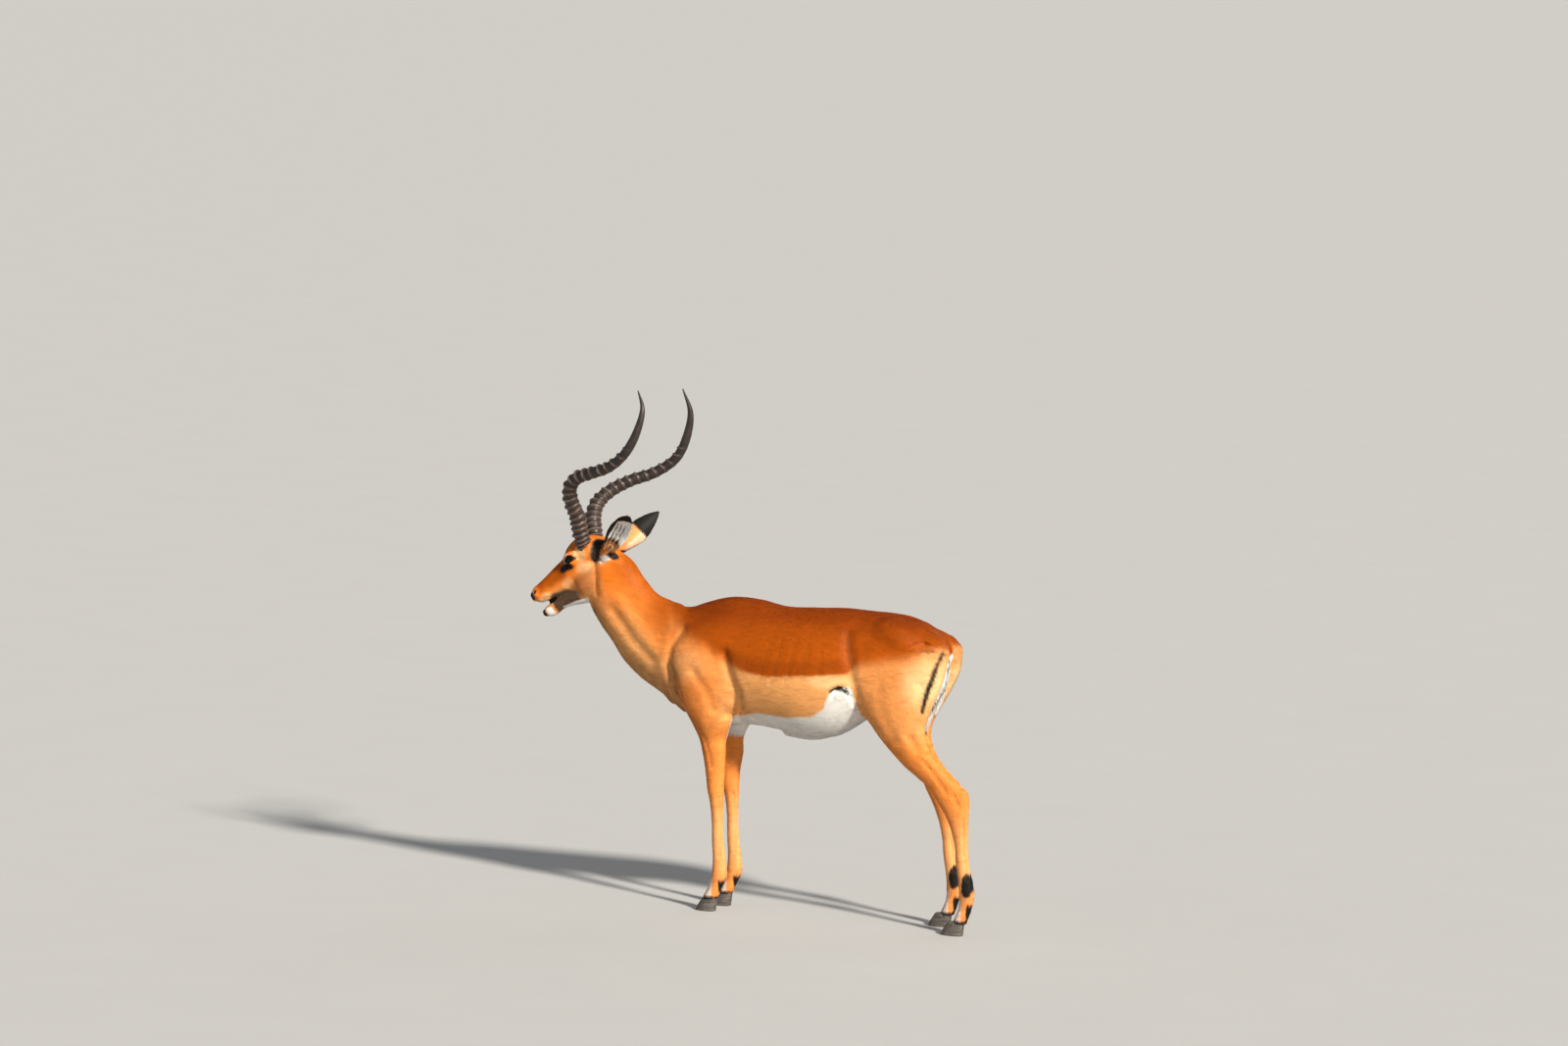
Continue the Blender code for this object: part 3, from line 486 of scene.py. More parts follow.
def lids_and_socket(points, total, side):
    """Lids wrapped over the eye, opened in an almond shape down to behind the eye's surface."""
    centre = np.array(eye_centre(side))
    out, along, up = eye_axes(side)
    away = points - centre
    reach = np.linalg.norm(away, axis=1)
    u, v, w = away @ along, away @ up, away @ out
    rise = np.where(v > 0, UPPER_LID_RISE, LOWER_LID_DROP)
    bow = rise * (1 - (u / FISSURE_HALF_LENGTH) ** 2)
    steep = np.sqrt(1 + (2 * rise * u / FISSURE_HALF_LENGTH ** 2) ** 2)
    lens = (np.abs(v) - bow) / steep
    total = blended(total, reach - EYE_RADIUS - LID_THICKNESS, 0.006)
    fold = np.abs(v - UPPER_LID_RISE * 1.35 * (1 - (u / 0.021) ** 2))
    total = total + 0.0012 * np.exp(-(fold / 0.0018) ** 2) * (np.abs(u) < 0.02) * (w > 0)
    under = np.abs(v + LOWER_LID_DROP * 1.5 * (1 - (u / 0.021) ** 2))
    total = total + 0.0007 * np.exp(-(under / 0.002) ** 2) * (np.abs(u) < 0.02) * (w > 0)
    cavity = np.maximum(np.maximum(lens, EYE_RADIUS - 0.0016 - reach), -w)
    return smooth_max(total, -cavity, 0.0016)


def eye_centre(side):
    return head_point(*EYE_PLACE, side * EYE_ASIDE)


def nostril_centre(side):
    place, height, aside = NOSTRIL_PLACE
    return head_point(place, height, side * aside)


def face_distance(points, total):
    """Adds the folds, lids, nostrils and lips to the distance near the face."""
    s, h = head_local(points)
    for line, width, depth in FACE_CREASES:
        away = from_line(s, h, line)
        total = total + depth * np.exp(-(away / width) ** 2) * (np.abs(points[:, 1]) > 0.008)
    for _, side in SIDES:
        near = (points[:, 1] * side > 0.005) & (np.abs(s - EYE_PLACE[0]) < 0.04)
        near &= np.abs(h - EYE_PLACE[1]) < 0.04
        if near.any():
            total[near] = lids_and_socket(points[near], total[near], side)
        away = points - np.array(nostril_centre(side))
        tilt = HEAD_SLOPE + 0.45
        x = away[:, 0] * math.cos(tilt) + away[:, 2] * math.sin(tilt)
        z = away[:, 2] * math.cos(tilt) - away[:, 0] * math.sin(tilt)
        hole = oval_distance((x, away[:, 1], z + 18 * x * x), NOSTRIL_RADII)
        rim = np.exp(-(np.maximum(hole - 0.002, 0) / 0.003) ** 2) * 0.0009
        total = smooth_max(total - rim, -hole, 0.002)
    return total


def skin_distance(points, forms):
    """Distance to the bare skin: the blended forms, sunk by the coat, with folds and a face."""
    total = flesh_distance(points, forms) + coat_depth(points)
    x, z = as_left(points)
    body = points[:, 0] > -0.46
    for line, width, depth in BODY_CREASES:
        low = np.min(line, axis=0) - 2 * width
        high = np.max(line, axis=0) + 2 * width
        near = body & (x > low[0]) & (x < high[0]) & (z > low[1]) & (z < high[1])
        near &= np.abs(points[:, 1]) > 0.02
        away = from_line(x[near], z[near], line)
        total[near] += depth * np.exp(-(away / width) ** 2)
    face = (points[:, 0] < -0.44) & (points[:, 2] > 0.70)
    if face.any():
        total[face] = face_distance(points[face], total[face])
    return total


SLOPE_STEP = 0.0004     # between the two readings that give the slope of the distance
LEAST_STEEP = 0.25
LONGEST_MOVE = 0.004    # of a point in one round


def settle(points, forms, rounds):
    """Moves points along the slope of the distance until they lie on the skin."""
    for _ in range(rounds):
        here = skin_distance(points, forms)
        slope = np.empty_like(points)
        for axis in range(3):
            shift = np.zeros(3)
            shift[axis] = SLOPE_STEP
            slope[:, axis] = (skin_distance(points + shift, forms) - here) / SLOPE_STEP
        steep = np.maximum((slope ** 2).sum(axis=1), LEAST_STEEP)
        move = slope * (here / steep)[:, None]
        length = np.linalg.norm(move, axis=1)
        points = points - move * np.minimum(1, LONGEST_MOVE / np.maximum(length, 1e-9))[:, None]
    return points


# ---------------------------------------------------------------- mesh helpers

def collection_add(made):
    bpy.context.scene.collection.objects.link(made)
    return made


def ring_faces(mesh, rings):
    """Adds rings of points to a bmesh, bridged in order, with both ends filled."""
    made = [[mesh.verts.new(p) for p in ring] for ring in rings]
    for first, second in zip(made, made[1:]):
        for i in range(len(first)):
            j = (i + 1) % len(first)
            mesh.faces.new((first[i], first[j], second[j], second[i]))
    mesh.faces.new(reversed(made[0]))
    mesh.faces.new(made[-1])


def new_object(name, build):
    """An object from a function that fills a bmesh. Its faces are turned to point out."""
    mesh = bpy.data.meshes.new(name)
    work = bmesh.new()
    build(work)
    bmesh.ops.recalc_face_normals(work, faces=work.faces)
    work.to_mesh(mesh)
    work.free()
    return collection_add(bpy.data.objects.new(name, mesh))


def apply_modifiers(item):
    """Replaces an object's mesh with its evaluated one."""
    graph = bpy.context.evaluated_depsgraph_get()
    mesh = bpy.data.meshes.new_from_object(item.evaluated_get(graph))
    old = item.data
    item.modifiers.clear()
    item.data = mesh
    mesh.name = item.name
    bpy.data.meshes.remove(old)


def join_to(item, others):
    """Joins other closed shapes to an object and removes them."""
    for other in others:
        step = item.modifiers.new("join", "BOOLEAN")
        step.operation = "UNION"
        step.solver = "EXACT"
        step.object = other
    apply_modifiers(item)
    for other in others:
        bpy.data.objects.remove(other, do_unlink=True)


def mesh_points(mesh):
    points = np.empty(len(mesh.vertices) * 3, np.float32)
    mesh.vertices.foreach_get("co", points)
    return points.reshape(-1, 3).astype(float)


def mesh_normals(mesh):
    normals = np.empty(len(mesh.vertices) * 3, np.float32)
    mesh.vertices.foreach_get("normal", normals)
    return normals.reshape(-1, 3).astype(float)


def set_points(mesh, points):
    mesh.vertices.foreach_set("co", points.astype(np.float32).ravel())
    mesh.update()


def refine(item, forms, chosen, rounds):
    """Cuts the chosen part of a skin finer and settles it again."""
    mask = chosen(mesh_points(item.data))
    work = bmesh.new()
    work.from_mesh(item.data)
    edges = [e for e in work.edges if mask[e.verts[0].index] and mask[e.verts[1].index]]
    bmesh.ops.subdivide_edges(work, edges=edges, cuts=1, use_grid_fill=True)
    work.to_mesh(item.data)
    work.free()
    points = mesh_points(item.data)
    near = chosen(points)
    points[near] = settle(points[near], forms, rounds)
    set_points(item.data, points)


def near_points(places, reach):
    """A test for points within reach of any of the places."""
    def chosen(points):
        mask = np.zeros(len(points), bool)
        for place in places:
            mask |= np.linalg.norm(points - np.array(place), axis=1) < reach
        return mask
    return chosen


# ---------------------------------------------------------------- ears

EAR_ALONG, EAR_ACROSS = 34, 19      # points along an ear and from edge to edge
EAR_RIB_HEIGHT = 0.0005
EAR_OUTER_INSET = 0.0004
EAR_INNER_INSET = EAR_WALL - 0.0006
# The round root under an ear: place along its axis, radius
EAR_ROOT_RINGS = ((-0.012, 0.0150), (0.004, 0.0140), (0.018, 0.0122), (0.032, 0.0105), (0.044, 0.0080))


def ear_leaf(side_name, side):
    """One cupped ear on a round root, a little inside the solid's."""
    axes = ear_frame(side_name, side)
    sweep = [2 * j / (EAR_ACROSS - 1) - 1 for j in range(EAR_ACROSS)]

    def build(work):
        rings = []
        for i in range(EAR_ALONG):
            place = i / (EAR_ALONG - 1)
            ribs = [EAR_RIB_HEIGHT * math.cos(9 * a) * math.sin(math.pi * place) for a in sweep]
            outer = [ear_point(axes, place, a, EAR_OUTER_INSET) for a in sweep]
            inner = [ear_point(axes, place, a, EAR_INNER_INSET + r) for a, r in zip(sweep, ribs)]
            rings.append(outer + inner[::-1])
        ring_faces(work, rings)

    leaf = new_object("ear_leaf", build)
    root, axis, _, _ = axes
    rings = [ring_around(root + axis * place, axis, radius, 22) for place, radius in EAR_ROOT_RINGS]
    stub = new_object("ear_root", lambda work: ring_faces(work, rings))
    join_to(leaf, [stub])
    return leaf


def ear_places(points, side_name, side):
    """Place along an ear, from 0 at its root, and distance from its axis."""
    root, axis, _, _ = ear_frame(side_name, side)
    away = points - np.array(root)
    along = away @ np.array(axis)
    aside = np.linalg.norm(away - along[:, None] * np.array(axis), axis=1)
    return along, aside


def soften(item, amount, rounds):
    """Evens out a mesh where the amount, one number for each vertex, is above 0."""
    mesh = item.data
    ends = np.empty(len(mesh.edges) * 2, np.int32)
    mesh.edges.foreach_get("vertices", ends)
    first, second = ends.reshape(-1, 2).T
    points = mesh_points(mesh)
    count = np.bincount(ends, minlength=len(points)).astype(float)[:, None]
    for _ in range(rounds):
        total = np.zeros_like(points)
        np.add.at(total, first, points[second])
        np.add.at(total, second, points[first])
        points += (total / count - points) * amount[:, None] * 0.5
    set_points(mesh, points)


# ---------------------------------------------------------------- places of horns, ears and hooves

HORN_POINTS = {
    "left": (
        (-0.530, 0.031, 1.003), (-0.540, 0.045, 1.045), (-0.543, 0.066, 1.095),
        (-0.553, 0.096, 1.145), (-0.547, 0.120, 1.182), (-0.520, 0.139, 1.212),
        (-0.470, 0.156, 1.231), (-0.408, 0.171, 1.254), (-0.353, 0.184, 1.299),
        (-0.316, 0.188, 1.368), (-0.307, 0.181, 1.430), (-0.328, 0.168, 1.477),
    ),
    "right": (
        (-0.524, 0.031, 1.003), (-0.538, 0.045, 1.050), (-0.553, 0.070, 1.090),
        (-0.553, 0.100, 1.127), (-0.530, 0.126, 1.158), (-0.478, 0.150, 1.191),
        (-0.411, 0.173, 1.219), (-0.352, 0.187, 1.264), (-0.318, 0.188, 1.342),
        (-0.310, 0.180, 1.398), (-0.331, 0.166, 1.466),
    ),
}


def path_through(points):
    """A smooth path read from 0 at its first point to 1 at its last."""
    points = np.array(points)
    steps = np.linalg.norm(np.diff(points, axis=0), axis=1)
    places = np.concatenate(([0], np.cumsum(steps)))
    return smooth_curve(places / places[-1], points)


def horn_radius(place):
    """Radius of the horn's core along its length, from 0 at the root to 1 at the tip."""
    knots = (0.0, 0.10, 0.35, 0.62, 0.85, 1.0)
    shares = (1.00, 1.00, 0.84, 0.67, 0.44, 0.08)
    return HORN_BASE_RADIUS * smooth_curve(knots, shares)(place)


def ring_around(centre, tangent, radius, count):
    """A circle of points across a tangent, started towards the front."""
    tangent = Vector(tangent).normalized()
    out = Vector((-1.0, 0.0, 0.0))
    out = (out - out.dot(tangent) * tangent).normalized()
    other = tangent.cross(out)
    turns = (2 * math.pi * k / count for k in range(count))
    radius = float(radius)
    return [Vector(centre) + radius * (math.cos(a) * out + math.sin(a) * other) for a in turns]


EAR_AXIS = Vector((0.0885, 0.0634, 0.111))
EAR_OPENING = {"left": Vector((0.50, 1.0, 0.0)), "right": Vector((-0.25, 1.0, -0.05))}
EAR_ROOT = Vector((-0.467, 0.0365, 0.986))


def ear_frame(side_name, side):
    """Root, axis, opening direction and width direction of an ear."""
    flip = Vector((1.0, side, 1.0))
    axis = (EAR_AXIS * flip).normalized()
    opening = EAR_OPENING[side_name] * flip
    opening = (opening - opening.dot(axis) * axis).normalized()
    return EAR_ROOT * flip, axis, opening, axis.cross(opening)


def ear_point(axes, place, across, inset):
    """A point of the ear's cup: place runs from root to tip, across from edge to edge."""
    root, axis, opening, width = axes
    ends = (0.87, 0.62, 0.20) if opening.y < 0 else (0.78, 0.44, 0.09)
    half = EAR_HALF_WIDTH * float(smooth_curve((0, 0.16, 0.42, 0.70, 0.88, 1.0),
                                               (0.42, 0.70, 1.0, *ends))(np.float64(place)))
    bend = float(smooth_curve((0, 0.25, 0.6, 1.0), (2.2, 1.25, 0.72, 0.40))(np.float64(place)))
    angle = across * bend
    radius = half / math.sin(min(bend, math.pi / 2))
    sideways = (radius - inset) * math.sin(angle)
    depth = radius * math.cos(min(bend, math.pi / 2)) * 0.6 - (radius - inset) * math.cos(angle)
    curl = 0.012 * math.sin(math.pi * place)
    middle = root + axis * (EAR_CUP_START + place * (EAR_LENGTH - EAR_CUP_START)) - opening * curl
    return middle + width * sideways + opening * (depth + radius * 0.35)


HOOVES = (      # toe and heel at the left side, stance, and how far the right foot is moved
    ("fore", -0.125, -0.066, FORE_STANCE, FORE_SHIFT),
    ("hind", 0.628, 0.693, HIND_STANCE, HIND_STEP),
)


# ---------------------------------------------------------------- markings of the coat

# The saddle's lower edge: x, z, and how softly it ends there
SADDLE_EDGE = (
    (-0.27, 0.815, 0.05), (-0.21, 0.795, 0.05), (-0.13, 0.760, 0.05), (-0.06, 0.722, 0.035),
    (0.00, 0.700, 0.018), (0.031, 0.695, 0.010), (0.095, 0.690, 0.005), (0.197, 0.702, 0.005),
    (0.333, 0.717, 0.007), (0.363, 0.742, 0.035), (0.432, 0.755, 0.040), (0.504, 0.769, 0.040),
    (0.555, 0.794, 0.030), (0.594, 0.804, 0.020),
)
SADDLE_X, SADDLE_Z, SADDLE_SOFT = zip(*SADDLE_EDGE)

# The upper edge of the white belly, in x and z
BELLY_EDGE = (
    (-0.10, 0.545), (-0.023, 0.564), (0.050, 0.580), (0.145, 0.578), (0.224, 0.586),
    (0.262, 0.612), (0.279, 0.655), (0.300, 0.672), (0.338, 0.682), (0.352, 0.640),
)
BELLY_X, BELLY_Z = zip(*BELLY_EDGE)
# Painted shadow under the flank fold, along its arch over the groin, in x and z
FLANK_ARCH_SHADOW = ((0.284, 0.664), (0.293, 0.673), (0.309, 0.679), (0.327, 0.672), (0.342, 0.648),
              (0.352, 0.615))
FLANK_FOLD_SHADOW = ((0.303, 0.672), (0.322, 0.670), (0.336, 0.655))
BUTTOCK_STRIPE = ((0.597, 0.792), (0.585, 0.749), (0.575, 0.710), (0.563, 0.673), (0.552, 0.625))

# Marks of the face, in places along and across its slope: mark, strength, place, radii,
# softness, and whether the mark keeps off the middle of the face
FACE_SPOTS = (
    # The cheek spot of saddle colour is partly the coat's darker mottle, partly painted shade under the
    # cheekbone
    ("saddle", 0.55, (0.178, -0.060), (0.048, 0.034), 0.5, False),      # cheek
    ("pale", 0.75, (0.215, 0.018), (0.018, 0.020), 0.4, True),          # behind the eye
    ("pale", 0.50, (0.203, -0.022), (0.024, 0.018), 0.4, True),         # cheek bone
    ("pale", 0.35, (0.132, -0.034), (0.020, 0.016), 0.4, False),
    ("pale", 0.40, (0.225, -0.052), (0.022, 0.035), 0.4, False),
    ("pale", 0.50, (0.048, -0.036), (0.020, 0.012), 0.4, False),        # upper lip
    # The white spot on top of the nose pad is a painted highlight on the wet nose
    ("white", 0.60, (0.016, -0.004), (0.004, 0.005), 0.4, False),
    # Grey on the cheek: partly darker mottled coat, partly painted shade. Grey at the corner of the jaw:
    # painted shade under the jaw
    ("grey", 0.30, (0.184, -0.062), (0.040, 0.030), 0.4, True),
    ("grey", 0.40, (0.225, -0.100), (0.036, 0.028), 0.3, True),         # corner of the jaw
)
# The same for marks along a line: mark, strength, line, half width, softness, off the middle
FACE_LINES = (
    ("white", 0.75, ((0.154, 0.012), (0.1525, 0.018), (0.160, 0.030), (0.172, 0.037)),
     0.0032, 0.0030, True),
    ("white", 0.55, ((0.172, 0.037), (0.192, 0.0325), (0.206, 0.022)), 0.0020, 0.0040, True),
    ("white", 0.60, ((0.186, -0.010), (0.200, -0.010), (0.212, -0.018)), 0.003, 0.009, True),
    ("white", 0.85, ((0.080, -0.091), (0.121, -0.0965), (0.165, -0.108)), 0.008, 0.006, False),
    ("white", 0.80, ((0.006, -0.033), (0.026, -0.042), (0.044, -0.048)), 0.0030, 0.0035, False),
    # Black in front of and below the eye is painted shade in the hollow before the eye
    ("black", 0.70, ((0.135, 0.003), (0.150, 0.003), (0.168, -0.001)), 0.0095, 0.0090, True),
    ("black", 0.70, ((0.150, 0.010), (0.160, 0.007), (0.170, 0.003)), 0.0070, 0.0040, True),
    ("black", 0.45, ((0.150, 0.022), (0.134, 0.014)), 0.006, 0.007, False),
    ("black", 1.00, ((0.008, -0.039), (0.028, -0.048), (0.058, -0.0555)), 0.0014, 0.0014, False),
    ("black", 0.60, ((0.174, 0.0455), (0.198, 0.038)), 0.004, 0.005, True),
)
# Outline of the jowl shade, a painted shade from the mouth's corner down the side of the lower jaw
JOWL_S = (0.050, 0.070, 0.115, 0.150, 0.172)
JOWL_TOP = (-0.046, -0.036, -0.044, -0.068, -0.098)
JOWL_LOW_S = (0.050, 0.062, 0.080, 0.120, 0.165)
JOWL_LOW = (-0.120, -0.118, -0.088, -0.092, -0.101)
MOUTH_HEIGHT = -0.0525
MARKS = ("saddle", "spine", "orange", "white", "black", "grey", "pale")


def band(value, middle, half, soft):
    """1 within half of the middle, falling to 0 over the soft width."""
    return 1 - ease(np.abs(value - middle), half - soft, half + soft)


def spot(x, z, centre, radii, soft=0.35):
    """1 inside an oval, falling to 0 across its softened edge."""
    away = np.hypot((x - centre[0]) / radii[0], (z - centre[1]) / radii[1])
    return 1 - ease(away, 1 - soft, 1 + soft)


def line_mark(x, z, line, half, soft):
    """1 along a bent line, falling to 0 beyond its half width."""
    return 1 - ease(from_line(x, z, line), half - soft, half + soft)


def face_marks(points):
    """Markings of the head, in places along and across its slope."""
    s, h = head_local(points)
    y = np.abs(points[:, 1])
    aside = ease(y, 0.010, 0.024)
    marks = {name: np.zeros(len(s)) for name in MARKS}
    marks["orange"] += 0.80 * ease(h, -0.060, -0.010) + 0.20
    marks["saddle"] += 0.95 * ease(h, -0.042, 0.002) * (1 - ease(s, 0.130, 0.175)) * ease(s, 0.020, 0.045)
    marks["saddle"] += 0.40 * ease(h, 0.034, 0.055) * ease(s, 0.17, 0.20) * (1 - ease(s, 0.24, 0.27))
    for name, strength, centre, radii, soft, sides_only in FACE_SPOTS:
        marks[name] += strength * spot(s, h, centre, radii, soft) * (aside if sides_only else 1)
    for name, strength, line, half, soft, sides_only in FACE_LINES:
        marks[name] += strength * line_mark(s, h, line, half, soft) * (aside if sides_only else 1)
    chin = (1 - ease(h + 0.30 * (s - 0.05), -0.075, -0.064)) * (1 - ease(s, 0.044, 0.052))
    marks["white"] += chin * ease(s, 0.022, 0.030)
    # Painted shade below the cheek, on the side of the lower jaw, in grey and black
    jowl_shade = ease(np.interp(s, JOWL_S, JOWL_TOP) - h, -0.008, 0.008)
    jowl_shade *= ease(h - np.interp(s, JOWL_LOW_S, JOWL_LOW), -0.006, 0.005)
    jowl_shade *= ease(s, 0.050, 0.060) * (1 - ease(s, 0.135, 0.172))
    marks["grey"] += 0.88 * jowl_shade
    black = marks["black"]
    black += 0.50 * jowl_shade
    black += 0.90 * chin * (1 - ease(s, 0.018, 0.026))
    black += (1 - ease(s, 0.012, 0.017)) * ease(h, -0.030, -0.022) * (1 - ease(h, -0.004, 0.002))
    mouth = band(h, MOUTH_HEIGHT, 0.006, 0.002) * (1 - ease(s, 0.066, 0.076)) * ease(s, 0.012, 0.02)
    black += mouth * (1 - ease(y, 0.009, 0.015))
    for _, side in SIDES:
        black += eye_rim(points, side)
        place, height, _ = NOSTRIL_PLACE
        x, z = s - place, h - height
        slit = np.hypot((x * 0.9 + z * 0.43) / 0.0080, (z * 0.9 - x * 0.43) / 0.0036)
        black += (1 - ease(slit, 0.8, 1.2)) * (points[:, 1] * side > 0.006) * 0.9
    return marks


def eye_rim(points, side):
    """Dark almond a little wider than the opening between the lids."""
    out, along, up = eye_axes(side)
    away = points - np.array(eye_centre(side))
    u, v, w = away @ along, away @ up, away @ out
    rise = np.where(v > 0, UPPER_LID_RISE + 0.0040, LOWER_LID_DROP + 0.0020)
    bow = rise * (1 - np.abs(u / (FISSURE_HALF_LENGTH + 0.0042)) ** 1.7)
    return (1 - ease(np.abs(v) - bow, -0.0004, 0.0014)) * (w > 0.002)


def white_parts(x, y, z, lx, lz, near, normals):
    """Belly, groin, insides of the legs, and the strip behind the buttocks."""
    aside = np.abs(y)
    outward = normals[:, 1] * np.sign(y)
    belly = np.interp(x, BELLY_X, BELLY_Z)
    white = (1 - ease(z - belly, -0.005, 0.005)) * ease(z, 0.485, 0.50)
    white *= ease(x, -0.16, -0.06) * (1 - ease(x, 0.345, 0.356))
    white *= 1 - near["leg"] * ease(outward, -0.25, 0.1) * ease(aside, 0.03, 0.05)
    groin = near["leg"] * (1 - ease(outward, -0.5, -0.1)) * ease(z, 0.50, 0.56) * (lx > 0.30)
    inner = near["leg"] * (1 - ease(outward, -0.35, 0.0)) * (lx < 0.1)
    between = (aside < 0.05) & (x > -0.20) & (x < 0.35)
    under = between * (1 - ease(normals[:, 2], -0.75, -0.45)) * (z < 0.66) * ease(x, -0.20, -0.12)
    edge = smooth_curve((0.58, 0.64, 0.70, 0.76), (0.505, 0.530, 0.552, 0.580))(lz)
    low_back = ease(lx - edge, 0.002, 0.012) * ease(lz, 0.590, 0.612)
    low_back = low_back * (1 - ease(lz, 0.70, 0.74)) * (x > 0.42)
    reach = np.where(y > 0, 0.068, 0.044) - 0.45 * (z - 0.64)
    pastern = (1 - ease(lz, 0.095, 0.125))
    front = np.where(lx > 0.3, 1 - ease(lx, 0.690, 0.700), 1 - ease(lx, -0.075, -0.066))
    return np.maximum.reduce([
        white,
        groin * (1 - ease(lx, 0.52, 0.56)),
        inner * ease(z, 0.475, 0.525) * (1 - ease(z, 0.60, 0.64)),
        under,
        0.95 * low_back * (1 - ease(aside - reach, -0.008, 0.012)),
        0.55 * pastern * front,
    ])


def black_parts(x, y, z, lx, lz):
    """Buttock stripes, heel tufts, hoof edges, and painted shadow under the arch of the flank fold."""
    aside = np.abs(y)
    taper = 0.0072 - 0.0022 * ease(lz, 0.72, 0.79) - 0.0020 * (1 - ease(lz, 0.62, 0.68))
    stripe = (1 - ease(from_line(lx, lz, BUTTOCK_STRIPE), taper - 0.003, taper + 0.004)) * (aside > 0.03)
    stripe *= 1 - ease(z, 0.705, 0.735) * (y > 0)
    heel = np.where(lx > 0.3, ease(lx, 0.700, 0.710), ease(lx, -0.060, -0.050))
    black = 0.70 * stripe + 0.9 * heel * (1 - ease(lz, 0.080, 0.105))
    black += spot(lx, lz, (0.705, 0.146), (0.016, 0.031), 0.25)
    black += 0.75 * (1 - ease(lz, 0.036, 0.050))
    # Black along the flank fold's arch is painted shadow of the fold
    fold = line_mark(x, z, FLANK_ARCH_SHADOW, 0.0045, 0.004)
    fold = np.maximum(fold, line_mark(x, z, FLANK_FOLD_SHADOW, 0.007, 0.006))
    return black + 0.90 * fold * (aside > 0.05)


def body_marks(points, normals, near):
    """Markings of neck, trunk and legs."""
    x, y, z = points.T
    aside = np.abs(y)
    lx, lz = as_left(points)
    line = np.interp(x, SADDLE_X, SADDLE_Z)
    soft = np.interp(x, SADDLE_X, SADDLE_SOFT)
    neck = near["neck"]
    along = (x - NECK_TOP[0]) * math.cos(NECK_SLOPE) + (z - NECK_TOP[1]) * math.sin(NECK_SLOPE)
    across = (z - NECK_TOP[1]) * math.cos(NECK_SLOPE) - (x - NECK_TOP[0]) * math.sin(NECK_SLOPE)
    on_neck = neck * (1 - ease(along, 0.02, 0.24))
    leg = 1 - ease(z, 0.50, 0.60)

    saddle = ease(z - line, -soft, soft) * (1 - on_neck) * ease(x + 0.7 * (z - 0.80), -0.34, -0.16)
    # Front of the forearm darkened with saddle colour as painted shade
    shin_shade = (1 - ease(lx, -0.122, -0.092)) * ease(z, 0.22, 0.32) * (1 - ease(z, 0.56, 0.64)) * (x > -0.3)
    saddle = np.maximum.reduce([
        saddle,
        0.75 * neck * ease(across, -0.015, 0.075),
        # Below the shoulder: partly the coat's darker orange, partly painted shade under the shoulder
        # muscle
        0.36 * spot(x, z, (-0.150, 0.635), (0.085, 0.085), 0.8),
        0.45 * shin_shade,
    ])
    # Darker along the back: partly the coat's own darker hair, partly painted shade where the light grazes
    # the top of the back
    spine = ease(z, 0.745, 0.865) * (1 - 0.4 * ease(aside, 0.06, 0.11)) * ease(x, -0.36, -0.14)
    spine *= 1 - 0.5 * ease(x, 0.50, 0.58)
    hem = band(z - line, 0.022, 0.018, 0.016) * ease(x, -0.10, 0.0) * (1 - ease(x, 0.30, 0.36))
    spine = np.maximum(spine, 0.45 * hem * ease(normals[:, 1] * np.sign(y), 0.3, 0.6))
    orange = np.maximum.reduce([
        on_neck * ease(across, -0.115, -0.02),
        0.8 * neck * ease(across, -0.05, 0.03),
        0.70 * leg,
        0.35 * ease(x, 0.33, 0.40) * (1 - ease(x, 0.52, 0.56)),
        0.55 * (1 - ease(x, -0.10, 0.0)) * (1 - neck),
    ])
    edge = smooth_curve((0.60, 0.70, 0.76, 0.82), (0.540, 0.566, 0.592, 0.606))(lz)
    behind = ease(lx - edge, 0.002, 0.012) * ease(lz, 0.595, 0.625)
    behind = behind * (1 - ease(lz, 0.80, 0.83)) * (x > 0.45)
    pale = np.maximum.reduce([
        0.90 * band(lz, 0.700, 0.050, 0.050) * ease(lx, 0.47, 0.545) * ease(aside, 0.03, 0.06),
        0.40 * behind * (1 - ease(aside, 0.060, 0.085)),
        0.7 * spot(x, z, (0.285, 0.690), (0.055, 0.018), 0.6),
        0.28 * spot(x, z, (-0.165, 0.695), (0.055, 0.045), 0.6),
        0.15 * on_neck * band(across, -0.045, 0.03, 0.03),
        0.3 * leg * band(lz, 0.20, 0.10, 0.08),
    ])
    # Grey: the throat is darker partly as a ram's darker neck and partly as painted shade under the neck;
    # the low front of the chest, the crease before the thigh and the crease behind the elbow get painted
    # shade
    flank_crease_shade = ((0.322, 0.815), (0.331, 0.780), (0.342, 0.745), (0.350, 0.700))
    grey = 0.70 * on_neck * (1 - ease(across, -0.130, -0.045))
    grey += 0.30 * (1 - ease(x, -0.22, -0.16)) * (1 - ease(z, 0.66, 0.76)) * (1 - on_neck)
    grey += 0.40 * line_mark(x, z, flank_crease_shade, 0.005, 0.007)
    grey += 0.30 * line_mark(x, z, ((-0.060, 0.610), (-0.035, 0.575)), 0.010, 0.010)
    return {"saddle": saddle, "spine": spine, "orange": orange, "pale": pale, "grey": grey,
            "white": white_parts(x, y, z, lx, lz, near, normals), "black": black_parts(x, y, z, lx, lz)}


def tail_marks(points):
    """White tail with a brown root, a dark line down its middle and a dark end."""
    z = points[:, 2]
    off = np.abs(points[:, 1] + 0.0035 + 0.06 * (0.78 - z))
    thick = 0.0022 + 0.0018 * band(z, 0.675, 0.030, 0.015)
    dark = (1 - ease(off, thick, thick + 0.0014)) * ease(z, 0.62, 0.65) * (1 - ease(z, 0.775, 0.785))
    root = ease(z, 0.782, 0.798)
    marks = {name: np.zeros(len(z)) for name in MARKS}
    end = 0.75 * (1 - ease(z, 0.575, 0.595))
    marks.update(white=1 - root, black=dark + end, saddle=root, spine=0.4 * root)
    return marks


